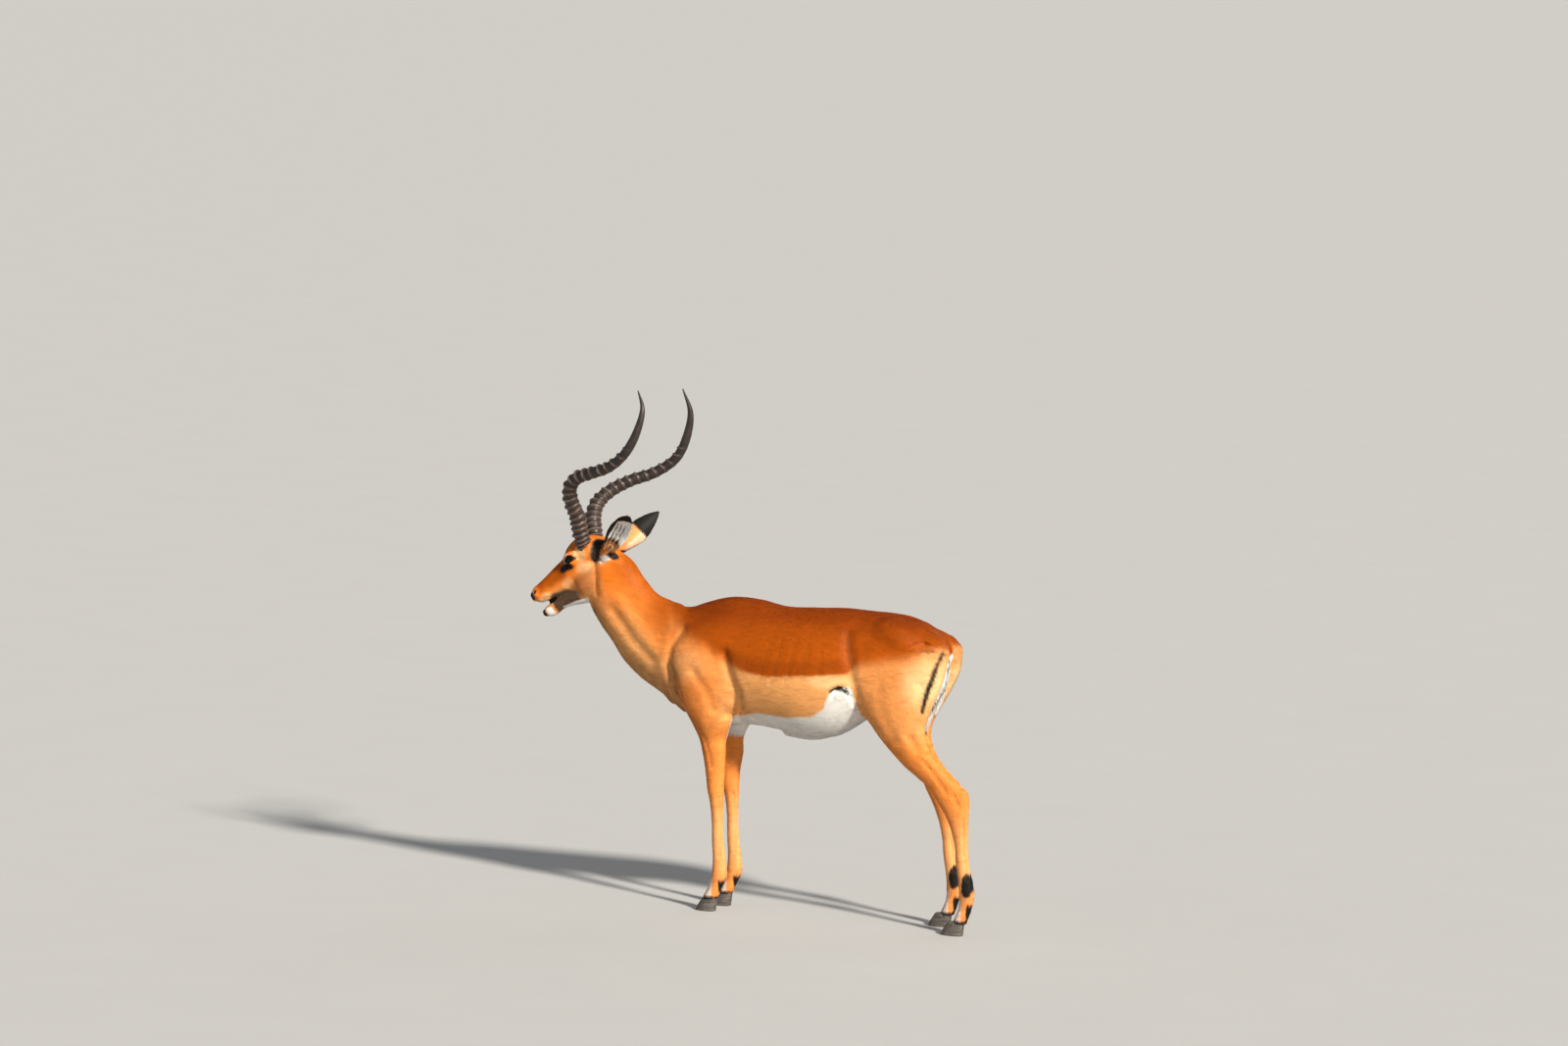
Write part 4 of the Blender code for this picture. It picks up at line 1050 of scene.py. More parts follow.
def ear_marks(points, normals, side_name, side):
    """Orange back with a black tip, and a pale lining with dark streaks and a dark front edge."""
    root, axis, opening, width = ear_frame(side_name, side)
    away = points - np.array(root)
    place = away @ np.array(axis) / EAR_LENGTH
    across = (away @ np.array(width)) / EAR_HALF_WIDTH
    rearward = -across * side
    inside = ease(normals @ np.array(opening), -0.05, 0.25)
    back = 1 - inside
    tip = ease(place, 0.50, 0.60) * back + ease(place - 0.10 * rearward, 0.78, 0.84) * inside
    front = ease(-rearward, 0.50, 0.72) * inside * ease(place, 0.12, 0.25)
    wavy = across + 0.15 * place + 0.05 * np.sin(30 * place)
    streaks = sum(band(wavy, middle, 0.055, 0.030) for middle in (-0.30, 0.06, 0.42))
    streaks = streaks * ease(place, 0.22, 0.30) * (1 - ease(place, 0.68, 0.76)) * inside
    deep = inside * (1 - ease(place, 0.27, 0.38))
    lining = inside * (1 - tip) * (1 - 0.8 * deep)
    cream = back * ease(rearward, -0.1, 0.35) * (1 - ease(place, 0.55, 0.72))
    return {
        "black": tip + 0.9 * front + 0.85 * streaks + 0.45 * deep,
        "white": np.maximum(lining, 0.45 * cream),
        "orange": 0.9 * back,
        "saddle": 0.35 * back * ease(-rearward, -0.6, 0.2),
        "pale": 0.5 * back * (1 - ease(place, 0.5, 0.7)),
        "grey": 0.7 * deep,
        "spine": np.zeros(len(place)),
    }


def store_marks(mesh, points, tips, normals, near, parts):
    """Blends the markings of the parts and stores them. Parts: head, tail and ear shares."""
    on_head, on_tail, ears = parts
    body, face, tail = body_marks(tips, normals, near), face_marks(tips), tail_marks(points)
    ear_looks = [ear_marks(points, normals, *names) for names in SIDES]
    s, h = head_local(tips)
    sides = ease(np.abs(points[:, 1]), 0.012, 0.026) * (points[:, 0] < -0.38)
    behind_ear = spot(s, h, (0.301, -0.036), (0.0145, 0.0160)) * sides
    # On the temple before the ear: painted shadow of the ear, with some darker hair, in grey and black
    temple_dark_hair_and_shadow = line_mark(s, h, ((0.294, 0.036), (0.270, 0.016), (0.251, -0.014)), 0.017, 0.007) * sides
    under_ear = line_mark(s, h, ((0.262, -0.030), (0.284, -0.030)), 0.009, 0.006) * sides
    under_ear *= (1 - temple_dark_hair_and_shadow) * (1 - behind_ear)
    for name in MARKS:
        value = body[name] * (1 - on_head) + face[name] * on_head
        value = value * (1 - on_tail) + tail[name] * on_tail
        value = value * (1 - temple_dark_hair_and_shadow) * (1 - under_ear)
        value += {"black": 0.66, "grey": 0.9}.get(name, 0.0) * temple_dark_hair_and_shadow
        value += {"white": 1.0}.get(name, 0.0) * under_ear
        if name == "black":
            value = np.maximum(value, 0.9 * behind_ear)
        for share, looks in zip(ears, ear_looks):
            value = value * (1 - share) + looks[name] * share
        add_values(mesh, "mark_" + name, np.clip(value, 0, 1))


# ---------------------------------------------------------------- lie, length and thickness of the coat

REGIONS = ("head", "neck", "chest", "loin", "rump", "forelegs", "hindlegs", "locks")
BUTTOCK_EDGE = ((0.603, 0.790), (0.590, 0.715), (0.567, 0.640), (0.556, 0.600))


def group_distances(points, groups):
    """Distance to each group of forms."""
    return {name: np.minimum.reduce([form.distance(points) for form in forms])
            for name, forms in groups.items()}


def lie_of_coat(points, normals, away, ears):
    """The way the hair lies at each point: a unit vector along the skin."""
    z = points[:, 2]
    ways = {
        "trunk": np.stack((np.ones(len(z)), 0 * z, -0.10 - 0.55 * (1 - ease(z, 0.60, 0.80))), axis=1),
        "neck": np.tile((math.cos(NECK_SLOPE), 0.0, math.sin(NECK_SLOPE)), (len(z), 1)),
        "head": np.tile((math.cos(HEAD_SLOPE), 0.0, math.sin(HEAD_SLOPE) - 0.25), (len(z), 1)),
        "fore": np.stack((0.05 + 0.55 * ease(z, 0.50, 0.75), 0 * z, -1 + 0 * z), axis=1),
        "hind": np.stack((0.10 + 0.75 * ease(z, 0.55, 0.80), 0 * z, -1 + 0 * z), axis=1),
        "tail": np.tile((-0.20, 0.0, -1.0), (len(z), 1)),
    }
    total = np.zeros_like(points)
    for name, way in ways.items():
        way = way / np.linalg.norm(way, axis=1)[:, None]
        total += way * np.exp(-np.clip(away[name], -0.02, 0.2) / 0.016)[:, None]
    for (side_name, side), share in zip(SIDES, ears):
        axis = np.array(ear_frame(side_name, side)[1])
        total = total * (1 - share)[:, None] + 3 * axis * share[:, None]
    total -= normals * (total * normals).sum(axis=1)[:, None]
    return total / np.maximum(np.linalg.norm(total, axis=1), 1e-6)[:, None]


def hair_length(points, near, on_head, on_ear):
    """Length of the short coat: longest on the neck and back line, shortest on face and ears."""
    x, y, z = points.T
    s, _ = head_local(points)
    length = 0.013 + 0.003 * near["neck"] - 0.005 * (1 - ease(z, 0.35, 0.50))
    length = length * (1 - on_head) + on_head * (0.0045 + 0.005 * ease(s, 0.10, 0.26))
    length = length * (1 - on_ear) + 0.0060 * on_ear
    return length + 0.005 * ease(z, 0.84, 0.88) * (1 - ease(np.abs(y), 0.01, 0.03)) * (x > -0.3)


def bare_places(points, on_head):
    """Where no hair grows: nose, nostrils, mouth, the eyes' openings and under the hooves' edge."""
    s, h = head_local(points)
    bare = (1 - ease(s, 0.009, 0.014)) * ease(h, -0.026, -0.018) * on_head
    for _, side in SIDES:
        holes = ((eye_centre(side), (0.0173, 0.0186)), (nostril_centre(side), (0.0035, 0.0055)))
        for centre, edge in holes:
            off = np.linalg.norm(points - np.array(centre), axis=1)
            bare = np.maximum(bare, 1 - ease(off, *edge))
    mouth = band(h, MOUTH_HEIGHT, 0.007, 0.002) * (1 - ease(s, 0.066, 0.072))
    bare = np.maximum(bare, mouth * (1 - ease(np.abs(points[:, 1]), 0.010, 0.016)) * on_head)
    return np.maximum(bare, 1 - ease(points[:, 2], 0.040, 0.043))


def lock_thickness(points, normals, on_tail, ears):
    """Where the long locks grow: tail, ear linings, heels, back line and buttock edges."""
    x, y, z = points.T
    aside = np.abs(y)
    lx, lz = as_left(points)
    locks = on_tail * 1.0
    for (side_name, side), share in zip(SIDES, ears):
        opening = np.array(ear_frame(side_name, side)[2])
        place, _ = ear_places(points, side_name, side)
        locks += 0.30 * share * ease(normals @ opening, 0.1, 0.5) * (1 - ease(place, 0.10, 0.13))
    locks += 1.6 * spot(lx, lz, (0.706, 0.146), (0.015, 0.030), 0.1) * (x > 0.3)
    locks += 0.08 * ease(z, 0.865, 0.88) * (1 - ease(aside, 0.005, 0.02)) * (x > -0.25) * (x < 0.5)
    locks += 0.22 * line_mark(lx, lz, BUTTOCK_EDGE, 0.010, 0.008) * (aside > 0.02)
    heel = np.where(lx > 0.3, ease(lx, 0.700, 0.712), ease(lx, -0.055, -0.045))
    locks += 0.40 * heel * band(lz, 0.085, 0.02, 0.01)
    return np.clip(locks, 0, 2)


def add_values(mesh, name, values):
    """Stores one number or vector for each point of a mesh."""
    values = np.ascontiguousarray(values, np.float32)
    kind = "FLOAT" if values.ndim == 1 else "FLOAT_VECTOR"
    made = mesh.attributes.new(name, kind, "POINT")
    made.data.foreach_set("value" if values.ndim == 1 else "vector", values.ravel())


def mark_skin(item, groups):
    """Stores the markings, the lie, length and thickness of the coat on the skin's points."""
    mesh = item.data
    points, normals = mesh_points(mesh), mesh_normals(mesh)
    x, y, z = points.T
    away = group_distances(points, groups)
    body = np.minimum(away["trunk"], np.minimum(away["fore"], away["hind"]))
    near = {
        "neck": ease(body - away["neck"], -0.02, 0.03) * (x < -0.15),
        "leg": ease(away["trunk"] - np.minimum(away["fore"], away["hind"]), -0.004, 0.012),
    }
    on_head = ease(away["neck"] - away["head"], -0.024, 0.014) * (x < -0.41)
    on_tail = ease(np.minimum(away["trunk"], away["hind"]) - away["tail"], -0.001, 0.003)
    on_tail *= (away["tail"] < 0.008) * (x > 0.50) * (np.abs(y) < 0.03)
    ears = []
    for side_name, side in SIDES:
        along, off = ear_places(points, side_name, side)
        ears.append(ease(along, 0.020, 0.034) * (off < 0.06) * (y * side > 0))
    on_ear = np.clip(ears[0] + ears[1], 0, 1)
    lie = lie_of_coat(points, normals, away, ears)
    length = hair_length(points, near, on_head, on_ear)
    add_values(mesh, "lie", lie)
    add_values(mesh, "hair", length)
    tips = points + lie * (0.55 * length * (1 - on_tail))[:, None]
    store_marks(mesh, points, tips, normals, near, (on_head, on_tail, ears))

    bare = bare_places(points, on_head)
    add_values(mesh, "bare", bare)
    leg = near["leg"] > 0.5
    tests = (
        ("head", (on_ear > 0.5) | (on_head > 0.5)), ("locks", on_tail > 0.5), ("neck", near["neck"] > 0.5),
        ("forelegs", leg & (z < 0.56) & (x < 0.2)), ("hindlegs", leg & (z < 0.60) & (x > 0.2)),
        ("chest", x < 0.118), ("loin", x < 0.292),
    )
    region = np.select([test for _, test in tests], [REGIONS.index(name) for name, _ in tests],
                       REGIONS.index("rump"))
    for number, name in enumerate(REGIONS[:-1]):
        add_values(mesh, "grow_" + name, (region == number) * (1 - bare))
    add_values(mesh, "grow_locks", lock_thickness(points, normals, on_tail, ears) * (1 - bare))
    add_values(mesh, "long_hair", 0.013 + 0.022 * on_tail * ease(0.74 - z, 0.0, 0.12))


def unwrap(item):
    """An unwrap of the skin's own shape, named OFBake."""
    layer = item.data.uv_layers.new(name="OFBake")
    item.data.uv_layers.active = layer
    bpy.context.view_layer.objects.active = item
    item.select_set(True)
    bpy.ops.object.mode_set(mode="EDIT")
    bpy.ops.mesh.select_all(action="SELECT")
    bpy.ops.uv.smart_project(angle_limit=math.radians(66), island_margin=0.001)
    bpy.ops.object.mode_set(mode="OBJECT")
    item.select_set(False)


# ---------------------------------------------------------------- materials

class Wires:
    """Adds nodes to a tree and joins them up."""

    def __init__(self, tree):
        self.tree = tree

    def feed(self, socket, value):
        """Links a socket to another, or sets its value. A colour is given without its alpha."""
        if isinstance(value, bpy.types.NodeSocket):
            self.tree.links.new(value, socket)
        elif socket.type == "RGBA":
            socket.default_value = (*value[:3], 1.0)
        else:
            socket.default_value = value

    def add(self, kind, inputs=None, **settings):
        """A new node. Inputs are fed by name or number after the node's settings are made."""
        node = self.tree.nodes.new(kind)
        for name, value in settings.items():
            setattr(node, name, value)
        for name, value in (inputs or {}).items():
            self.feed(node.inputs[name], value)
        return node

    def paint(self, shader, **inputs):
        """Feeds a shader's inputs, named with _ for each space."""
        for name, value in inputs.items():
            self.feed(shader.inputs[name.replace("_", " ")], value)

    def place(self):
        return self.add("ShaderNodeTexCoord").outputs["Object"]

    def math(self, operation, *values, clamp=False):
        given = dict(enumerate(values))
        return self.add("ShaderNodeMath", given, operation=operation, use_clamp=clamp).outputs[0]

    def times(self, first, *others, clamp=False):
        for other in others:
            first = self.math("MULTIPLY", first, other, clamp=clamp)
        return first

    def mark(self, name):
        return self.add("ShaderNodeAttribute", attribute_name=name).outputs["Fac"]

    def mix(self, factor, first, second):
        return self.add("ShaderNodeMix", {0: factor, 6: first, 7: second}, data_type="RGBA").outputs[2]

    def stretch(self, value, low, high, to_low=0.0, to_high=1.0):
        given = dict(enumerate((value, low, high, to_low, to_high)))
        return self.add("ShaderNodeMapRange", given, interpolation_type="SMOOTHSTEP").outputs[0]

    def noise(self, place, scale, detail=2.0, rough=0.5):
        given = {"Vector": place, "Scale": scale, "Detail": detail, "Roughness": rough}
        return self.add("ShaderNodeTexNoise", given).outputs["Fac"]

    def turned(self, place, slope, scale):
        """Coordinates turned about y, then scaled, so that a noise runs in streaks."""
        given = {"Vector": place, "Rotation": (0.0, slope, 0.0), "Scale": scale}
        return self.add("ShaderNodeMapping", given, vector_type="TEXTURE").outputs["Vector"]

    def bump(self, height, strength, distance):
        given = {"Height": height, "Strength": strength, "Distance": distance}
        return self.add("ShaderNodeBump", given).outputs["Normal"]

    def split(self, vector):
        return self.add("ShaderNodeSeparateXYZ", {0: vector}).outputs

    def brightened(self, colour, value):
        given = {"Value": value, "Color": colour}
        return self.add("ShaderNodeHueSaturation", given).outputs["Color"]


def new_material(name, **inputs):
    """A material, its wires and its shader. Each input is a plain value, named with _ for a space."""
    made = bpy.data.materials.new(name)
    made.use_nodes = True
    shader = made.node_tree.nodes["Principled BSDF"]
    wires = Wires(made.node_tree)
    wires.paint(shader, **inputs)
    return made, wires, shader


def markings_group(colours):
    """The coat's colours from its stored marks, with edges broken by noise."""
    tree = bpy.data.node_groups.new("markings", "ShaderNodeTree")
    tree.interface.new_socket("Colour", in_out="OUTPUT", socket_type="NodeSocketColor")
    wires = Wires(tree)
    math, mark, mix, stretch = wires.math, wires.mark, wires.mix, wires.stretch
    place = wires.place()
    patchy = wires.noise(place, 22.0, 3.0)
    fine = wires.noise(place, 160.0, 2.0)
    lying = wires.noise(wires.turned(place, 0.16, (0.05, 0.012, 0.012)), 1.0, 3.0, 0.6)
    ripple = wires.noise(wires.turned(place, -0.22, (0.050, 0.05, 0.006)), 1.0, 2.0)
    blur = math("MULTIPLY_ADD", math("SUBTRACT", patchy, 0.5), 0.16,
                wires.times(math("SUBTRACT", fine, 0.5), 0.20))

    def broken(name, low, high):
        return stretch(math("ADD", mark("mark_" + name), blur), low, high)

    flank = math("SUBTRACT", 1.0, mark("mark_saddle"), clamp=True)
    layers = (
        (mark("mark_pale"), colours.cream),
        (wires.times(stretch(ripple, 0.46, 0.36), flank, 0.16), colours.saddle),
        (stretch(math("ADD", mark("mark_saddle"), wires.times(blur, 0.5)), 0.0, 1.0), colours.saddle),
        (wires.times(mark("mark_spine"), 0.85), colours.spine),
        (math("ADD", mark("mark_grey"), wires.times(blur, 0.25), clamp=True), colours.grey),
        (broken("white", 0.25, 0.75), colours.white),
        (broken("black", 0.28, 0.72), colours.black),
    )
    colour = mix(mark("mark_orange"), colours.tan, colours.orange)
    for share, over in layers:
        colour = mix(share, colour, over)
    light = wires.times(stretch(patchy, 0.25, 0.75, 0.97, 1.03), stretch(lying, 0.30, 0.70, 0.94, 1.06))
    wires.add("NodeGroupOutput", {"Colour": wires.brightened(colour, light)})
    return tree


def hide_material(colours, group):
    """Skin seen between the hairs, with the flat short fur as bump, and bare dark skin."""
    made, wires, shader = new_material("impala hide", Roughness=0.6, Specular_IOR_Level=0.10)
    marks = wires.add("ShaderNodeGroup", node_tree=group)
    place = wires.place()
    bare = wires.mark("bare")
    across = wires.noise(wires.turned(place, 0.16, (0.016, 0.0016, 0.0016)), 1.0, 2.0)
    down = wires.noise(wires.turned(place, 0.0, (0.0016, 0.0016, 0.016)), 1.0, 2.0)
    low = wires.stretch(wires.split(place)["Z"], 0.60, 0.50)
    fur = wires.mix(low, across, down)
    pebbles = wires.add("ShaderNodeTexVoronoi", {"Vector": place, "Scale": 900.0})
    relief = wires.mix(bare, fur, pebbles.outputs["Distance"])
    colour = wires.mix(bare, marks.outputs["Colour"], colours.black)
    wires.paint(shader, Base_Color=wires.mix(0.02, colour, (0.05, 0.02, 0.01)),
                Roughness=wires.stretch(bare, 0.0, 1.0, 0.62, 0.34),
                Normal=wires.bump(relief, 0.55, 0.0008))
    return made


def coat_material(group):
    """Hair: the same markings, each tuft a little lighter or darker, and paler to its tip."""
    made, wires, shader = new_material("impala coat", Roughness=0.50, Specular_IOR_Level=0.12)
    marks = wires.add("ShaderNodeGroup", node_tree=group)
    tone = wires.mark("tuft_tone")
    patch = wires.add("ShaderNodeAttribute", attribute_name="patch").outputs["Vector"]
    tip = wires.stretch(wires.split(patch)["X"], 0.0, 1.0, 1.0, 1.16)
    light = wires.times(tip, wires.math("MULTIPLY_ADD", tone, 0.07, 1.0))
    wires.paint(shader, Base_Color=wires.brightened(marks.outputs["Colour"], light),
                Roughness=wires.math("MULTIPLY_ADD", tone, 0.05, 0.52))
    return made


HORN_ROOT_BROWN = (0.060, 0.034, 0.022)
# Groove black is painted shade below each ridge; crest brown is partly wear and partly a painted highlight
HORN_GROOVE_SHADE = (0.010, 0.006, 0.005)
HORN_CREST_WEAR_AND_HIGHLIGHT = (0.19, 0.120, 0.085)
HORN_CRACK_BLACK = (0.015, 0.010, 0.008)


def horn_material(colours):
    """Dark ridged keratin with long fine grooves. The crests are paler and drier, partly wear and partly a
    painted highlight; the grooves below them are darkened as painted shade.
    """
    made, wires, shader = new_material("horn keratin", Specular_IOR_Level=0.45, Coat_Weight=0.06,
                                       Coat_Roughness=0.3)
    place = wires.place()
    ridge = wires.stretch(wires.mark("ridge"), -0.03, 0.15)
    cloud = wires.noise(place, 60.0, 4.0, 0.6)
    grain = wires.noise(wires.turned(place, 0.0, (0.0012, 0.0012, 0.012)), 1.0, 3.0)
    worn_and_lit = wires.times(ridge, wires.stretch(cloud, 0.35, 0.65), clamp=True)
    colour = wires.mix(wires.stretch(wires.mark("along"), 0.05, 0.75), HORN_ROOT_BROWN, colours.horn)
    # Grooves darkened as painted shade, crests paled as wear and painted highlight
    colour = wires.mix(wires.stretch(wires.mark("ridge"), 0.03, -0.08), colour, HORN_GROOVE_SHADE)
    colour = wires.mix(wires.times(worn_and_lit, 0.85), colour, HORN_CREST_WEAR_AND_HIGHLIGHT)
    colour = wires.mix(wires.stretch(grain, 0.55, 0.35, 0.0, 0.4), colour, HORN_CRACK_BLACK)
    height = wires.math("MULTIPLY_ADD", grain, 0.6, wires.times(cloud, 0.4))
    wires.paint(shader, Base_Color=colour, Roughness=wires.stretch(cloud, 0.3, 0.7, 0.38, 0.58),
                Normal=wires.bump(height, 0.5, 0.0012))
    return made


def eye_material(colours):
    """Dark wet eye with a level pupil and a darker rim."""
    made, wires, shader = new_material("eye", Roughness=0.15, Coat_Weight=0.0, Coat_Roughness=0.02,
                                       Specular_IOR_Level=0.12)
    cloud = wires.noise(wires.place(), 700.0, 3.0)
    colour = wires.mix(wires.stretch(cloud, 0.35, 0.65), colours.iris, (0.010, 0.005, 0.003))
    colour = wires.mix(wires.mark("pupil"), colour, (0.003, 0.003, 0.004))
    wires.paint(shader, Base_Color=wires.mix(wires.mark("rim"), colour, (0.012, 0.007, 0.005)))
    return made


def hoof_material(colours):
    """Dark keratin with growth rings and a dusty bloom."""
    made, wires, shader = new_material("hoof keratin", Specular_IOR_Level=0.45)
    place = wires.place()
    rings = wires.noise(wires.turned(place, 0.0, (0.05, 0.05, 0.0022)), 1.0, 3.0)
    cloud = wires.noise(place, 90.0, 4.0)
    colour = wires.mix(wires.stretch(rings, 0.35, 0.65), colours.hoof, (0.115, 0.098, 0.084))
    colour = wires.mix(wires.stretch(cloud, 0.50, 0.75, 0.0, 0.6), colour, (0.17, 0.14, 0.115))
    wires.paint(shader, Base_Color=colour, Roughness=wires.stretch(cloud, 0.3, 0.7, 0.42, 0.62),
                Normal=wires.bump(rings, 0.4, 0.0008))
    return made


# ---------------------------------------------------------------- the coat's node tree

COAT_INPUTS = (
    ("Where", "NodeSocketString", "grow_head"),
    ("Length from", "NodeSocketString", "hair"),
    ("Density", "NodeSocketFloat", 1000.0),
    ("Width", "NodeSocketFloat", 0.0012),
    ("Flatness", "NodeSocketFloat", 0.4),
    ("Lift", "NodeSocketFloat", 0.15),
    ("Spread", "NodeSocketFloat", 0.2),
    ("Bend", "NodeSocketFloat", 0.1),
    ("Segments", "NodeSocketInt", 1),
    ("Seed", "NodeSocketInt", 1),
    ("Map patch", "NodeSocketFloat", 0.003),
)
OWN_NORMAL_SHARE = 0.25     # how much of a tuft's own roundness its shading keeps


def coat_tree():
    """Geometry Nodes: tufts rooted on the skin, laid along it, made real, with their own map."""
    tree = bpy.data.node_groups.new("coat of tufts", "GeometryNodeTree")
    face = tree.interface
    face.new_socket("Skin", in_out="INPUT", socket_type="NodeSocketGeometry")
    for name, kind, value in COAT_INPUTS:
        face.new_socket(name, in_out="INPUT", socket_type=kind).default_value = value
    face.new_socket("Material", in_out="INPUT", socket_type="NodeSocketMaterial")
    face.new_socket("Coat", in_out="OUTPUT", socket_type="NodeSocketGeometry")
    wires = Wires(tree)
    add, times = wires.add, wires.times
    given = add("NodeGroupInput").outputs

    def named(name, kind="FLOAT_VECTOR"):
        return add("GeometryNodeInputNamedAttribute", {"Name": name}, data_type=kind).outputs["Attribute"]

    def chance(low, high, salt):
        node = add("FunctionNodeRandomValue", {"Seed": wires.math("ADD", given["Seed"], float(salt))},
                   data_type="FLOAT")
        for socket, value in zip([s for s in node.inputs if s.type == "VALUE"], (low, high)):
            wires.feed(socket, value)
        return [o for o in node.outputs if o.type == "VALUE"][0]

    def keep(geometry, name, value, kind="FLOAT_VECTOR", domain="POINT"):
        node = add("GeometryNodeStoreNamedAttribute", {"Geometry": geometry, "Name": name, "Value": value},
                   data_type=kind, domain=domain)
        return node.outputs["Geometry"]

    def vector(**parts):
        return add("ShaderNodeCombineXYZ", parts).outputs[0]

    def scaled(value, share):
        return add("ShaderNodeVectorMath", {0: value, "Scale": share}, operation="SCALE").outputs[0]

    def summed(first, second):
        return add("ShaderNodeVectorMath", {0: first, 1: second}, operation="ADD").outputs[0]

    # Roots on the skin
    thickness = times(named(given["Where"], "FLOAT"), given["Density"])
    roots = add("GeometryNodeDistributePointsOnFaces",
                {"Mesh": given["Skin"], "Density": thickness, "Seed": given["Seed"]}).outputs
    points = keep(roots["Points"], "root_place", named("OFBake"))
    points = keep(points, "root_normal", roots["Normal"])
    points = keep(points, "tuft_tone", chance(-1.0, 1.0, 11), "FLOAT")

    # Each tuft lies along the coat, turned a little by chance
    stand = add("FunctionNodeAxesToRotation",
                {"Primary Axis": roots["Normal"], "Secondary Axis": named("lie")},
                primary_axis="Z", secondary_axis="X").outputs[0]
    turn = vector(X=chance(-0.5, 0.5, 1), Y=times(given["Lift"], chance(0.5, 1.5, 2), -1.0),
                  Z=times(given["Spread"], chance(-1.0, 1.0, 3)))
    small = add("FunctionNodeEulerToRotation", {0: turn}).outputs[0]
    laid = add("FunctionNodeRotateRotation", {"Rotation": stand, "Rotate By": small},
               rotation_space="LOCAL").outputs[0]

    # One tuft: a three-sided cone along X, flattened and bent down
    cone = add("GeometryNodeMeshCone", {"Vertices": 3, "Side Segments": given["Segments"],
                                        "Radius Top": 0.0, "Radius Bottom": 0.5, "Depth": 1.0})
    lying = add("GeometryNodeTransform", {"Geometry": cone.outputs["Mesh"],
                                          "Rotation": (0.0, math.radians(90), 0.0)})
    place = add("GeometryNodeInputPosition").outputs[0]
    split = wires.split(place)
    along = split["X"]
    body = wires.math("SUBTRACT", 1.15, times(along, 0.15))
    sag = times(along, along, given["Bend"])
    shape = vector(X=along, Y=times(split["Y"], body),
                   Z=wires.math("SUBTRACT", times(split["Z"], given["Flatness"]), sag))
    tuft = add("GeometryNodeSetPosition",
               {"Geometry": keep(lying.outputs["Geometry"], "patch", place), "Position": shape})

    # Grown on the roots, made real, shaded mostly as the skin below
    wide = times(given["Width"], chance(0.7, 1.3, 5))
    size = vector(X=times(named(given["Length from"], "FLOAT"), chance(0.75, 1.2, 4)), Y=wide, Z=wide)
    grown = add("GeometryNodeInstanceOnPoints", {
        "Points": points, "Instance": tuft.outputs["Geometry"], "Rotation": laid, "Scale": size})
    real = add("GeometryNodeRealizeInstances", {"Geometry": grown.outputs["Instances"]})
    own = scaled(add("GeometryNodeInputNormal").outputs[0], OWN_NORMAL_SHARE)
    shaded = add("GeometryNodeSetMeshNormal", {
        "Mesh": real.outputs["Geometry"], "Custom Normal": summed(named("root_normal"), own)},
        mode="FREE", domain="POINT")
    spread = summed(named("root_place"), scaled(named("patch"), given["Map patch"]))
    mapped = keep(shaded.outputs["Mesh"], "OFBake", spread, "FLOAT2", "CORNER")
    painted = add("GeometryNodeSetMaterial", {"Geometry": mapped, "Material": given["Material"]})
    add("NodeGroupOutput", {"Coat": painted.outputs["Geometry"]})
    return tree


def grown_share(mesh, name):
    """The skin's area, weighed by how thick the named growth is on it."""
    weights = np.empty(len(mesh.vertices), np.float32)
    mesh.attributes[name].data.foreach_get("value", weights)
    areas = np.empty(len(mesh.polygons), np.float32)
    mesh.polygons.foreach_get("area", areas)
    starts = np.empty(len(mesh.polygons), np.int32)
    mesh.polygons.foreach_get("loop_start", starts)
    corners = np.empty(len(mesh.loops), np.int32)
    mesh.loops.foreach_get("vertex_index", corners)
    sums = np.add.reduceat(weights[corners], starts)
    counts = np.diff(np.append(starts, len(corners)))
    return float((areas * sums / counts).sum())


def grow(skin, tree, name, wanted, **settings):
    """One piece of coat, made plain, with about the wanted number of tufts."""
    where = "grow_" + name
    carrier = collection_add(bpy.data.objects.new("coat_" + name, skin.data))
    step = carrier.modifiers.new("tufts", "NODES")
    step.node_group = tree
    settings.update({"Where": where, "Density": wanted / grown_share(skin.data, where)})
    for socket in tree.interface.items_tree:
        if socket.item_type == "SOCKET" and socket.in_out == "INPUT" and socket.name in settings:
            step[socket.identifier] = settings[socket.name]
    graph = bpy.context.evaluated_depsgraph_get()
    graph.update()
    mesh = bpy.data.meshes.new_from_object(carrier.evaluated_get(graph))
    carrier.modifiers.clear()
    carrier.data = mesh
    mesh.name = carrier.name
    spares = ("lie", "hair", "long_hair", "bare", "root_place", "root_normal")
    for spare in [a.name for a in mesh.attributes]:
        if spare.startswith("grow_") or spare in spares:
            mesh.attributes.remove(mesh.attributes[spare])
    mesh.shade_smooth()
    return carrier


# ---------------------------------------------------------------- horns, eyes and hooves

HORN_AROUND, HORN_ALONG = 44, 420               # points round and along a horn
RINGS_FROM, RINGS_TO, RINGS_CLOSER = 0.008, 0.74, 0.76
RING_LEAN = 0.16                                # in rings, led in front and trailed behind
RING_WANDER = 0.10
RING_HEIGHTS = (0.75, 1.15)
HORN_SEEDS = {"left": 3, "right": 5}


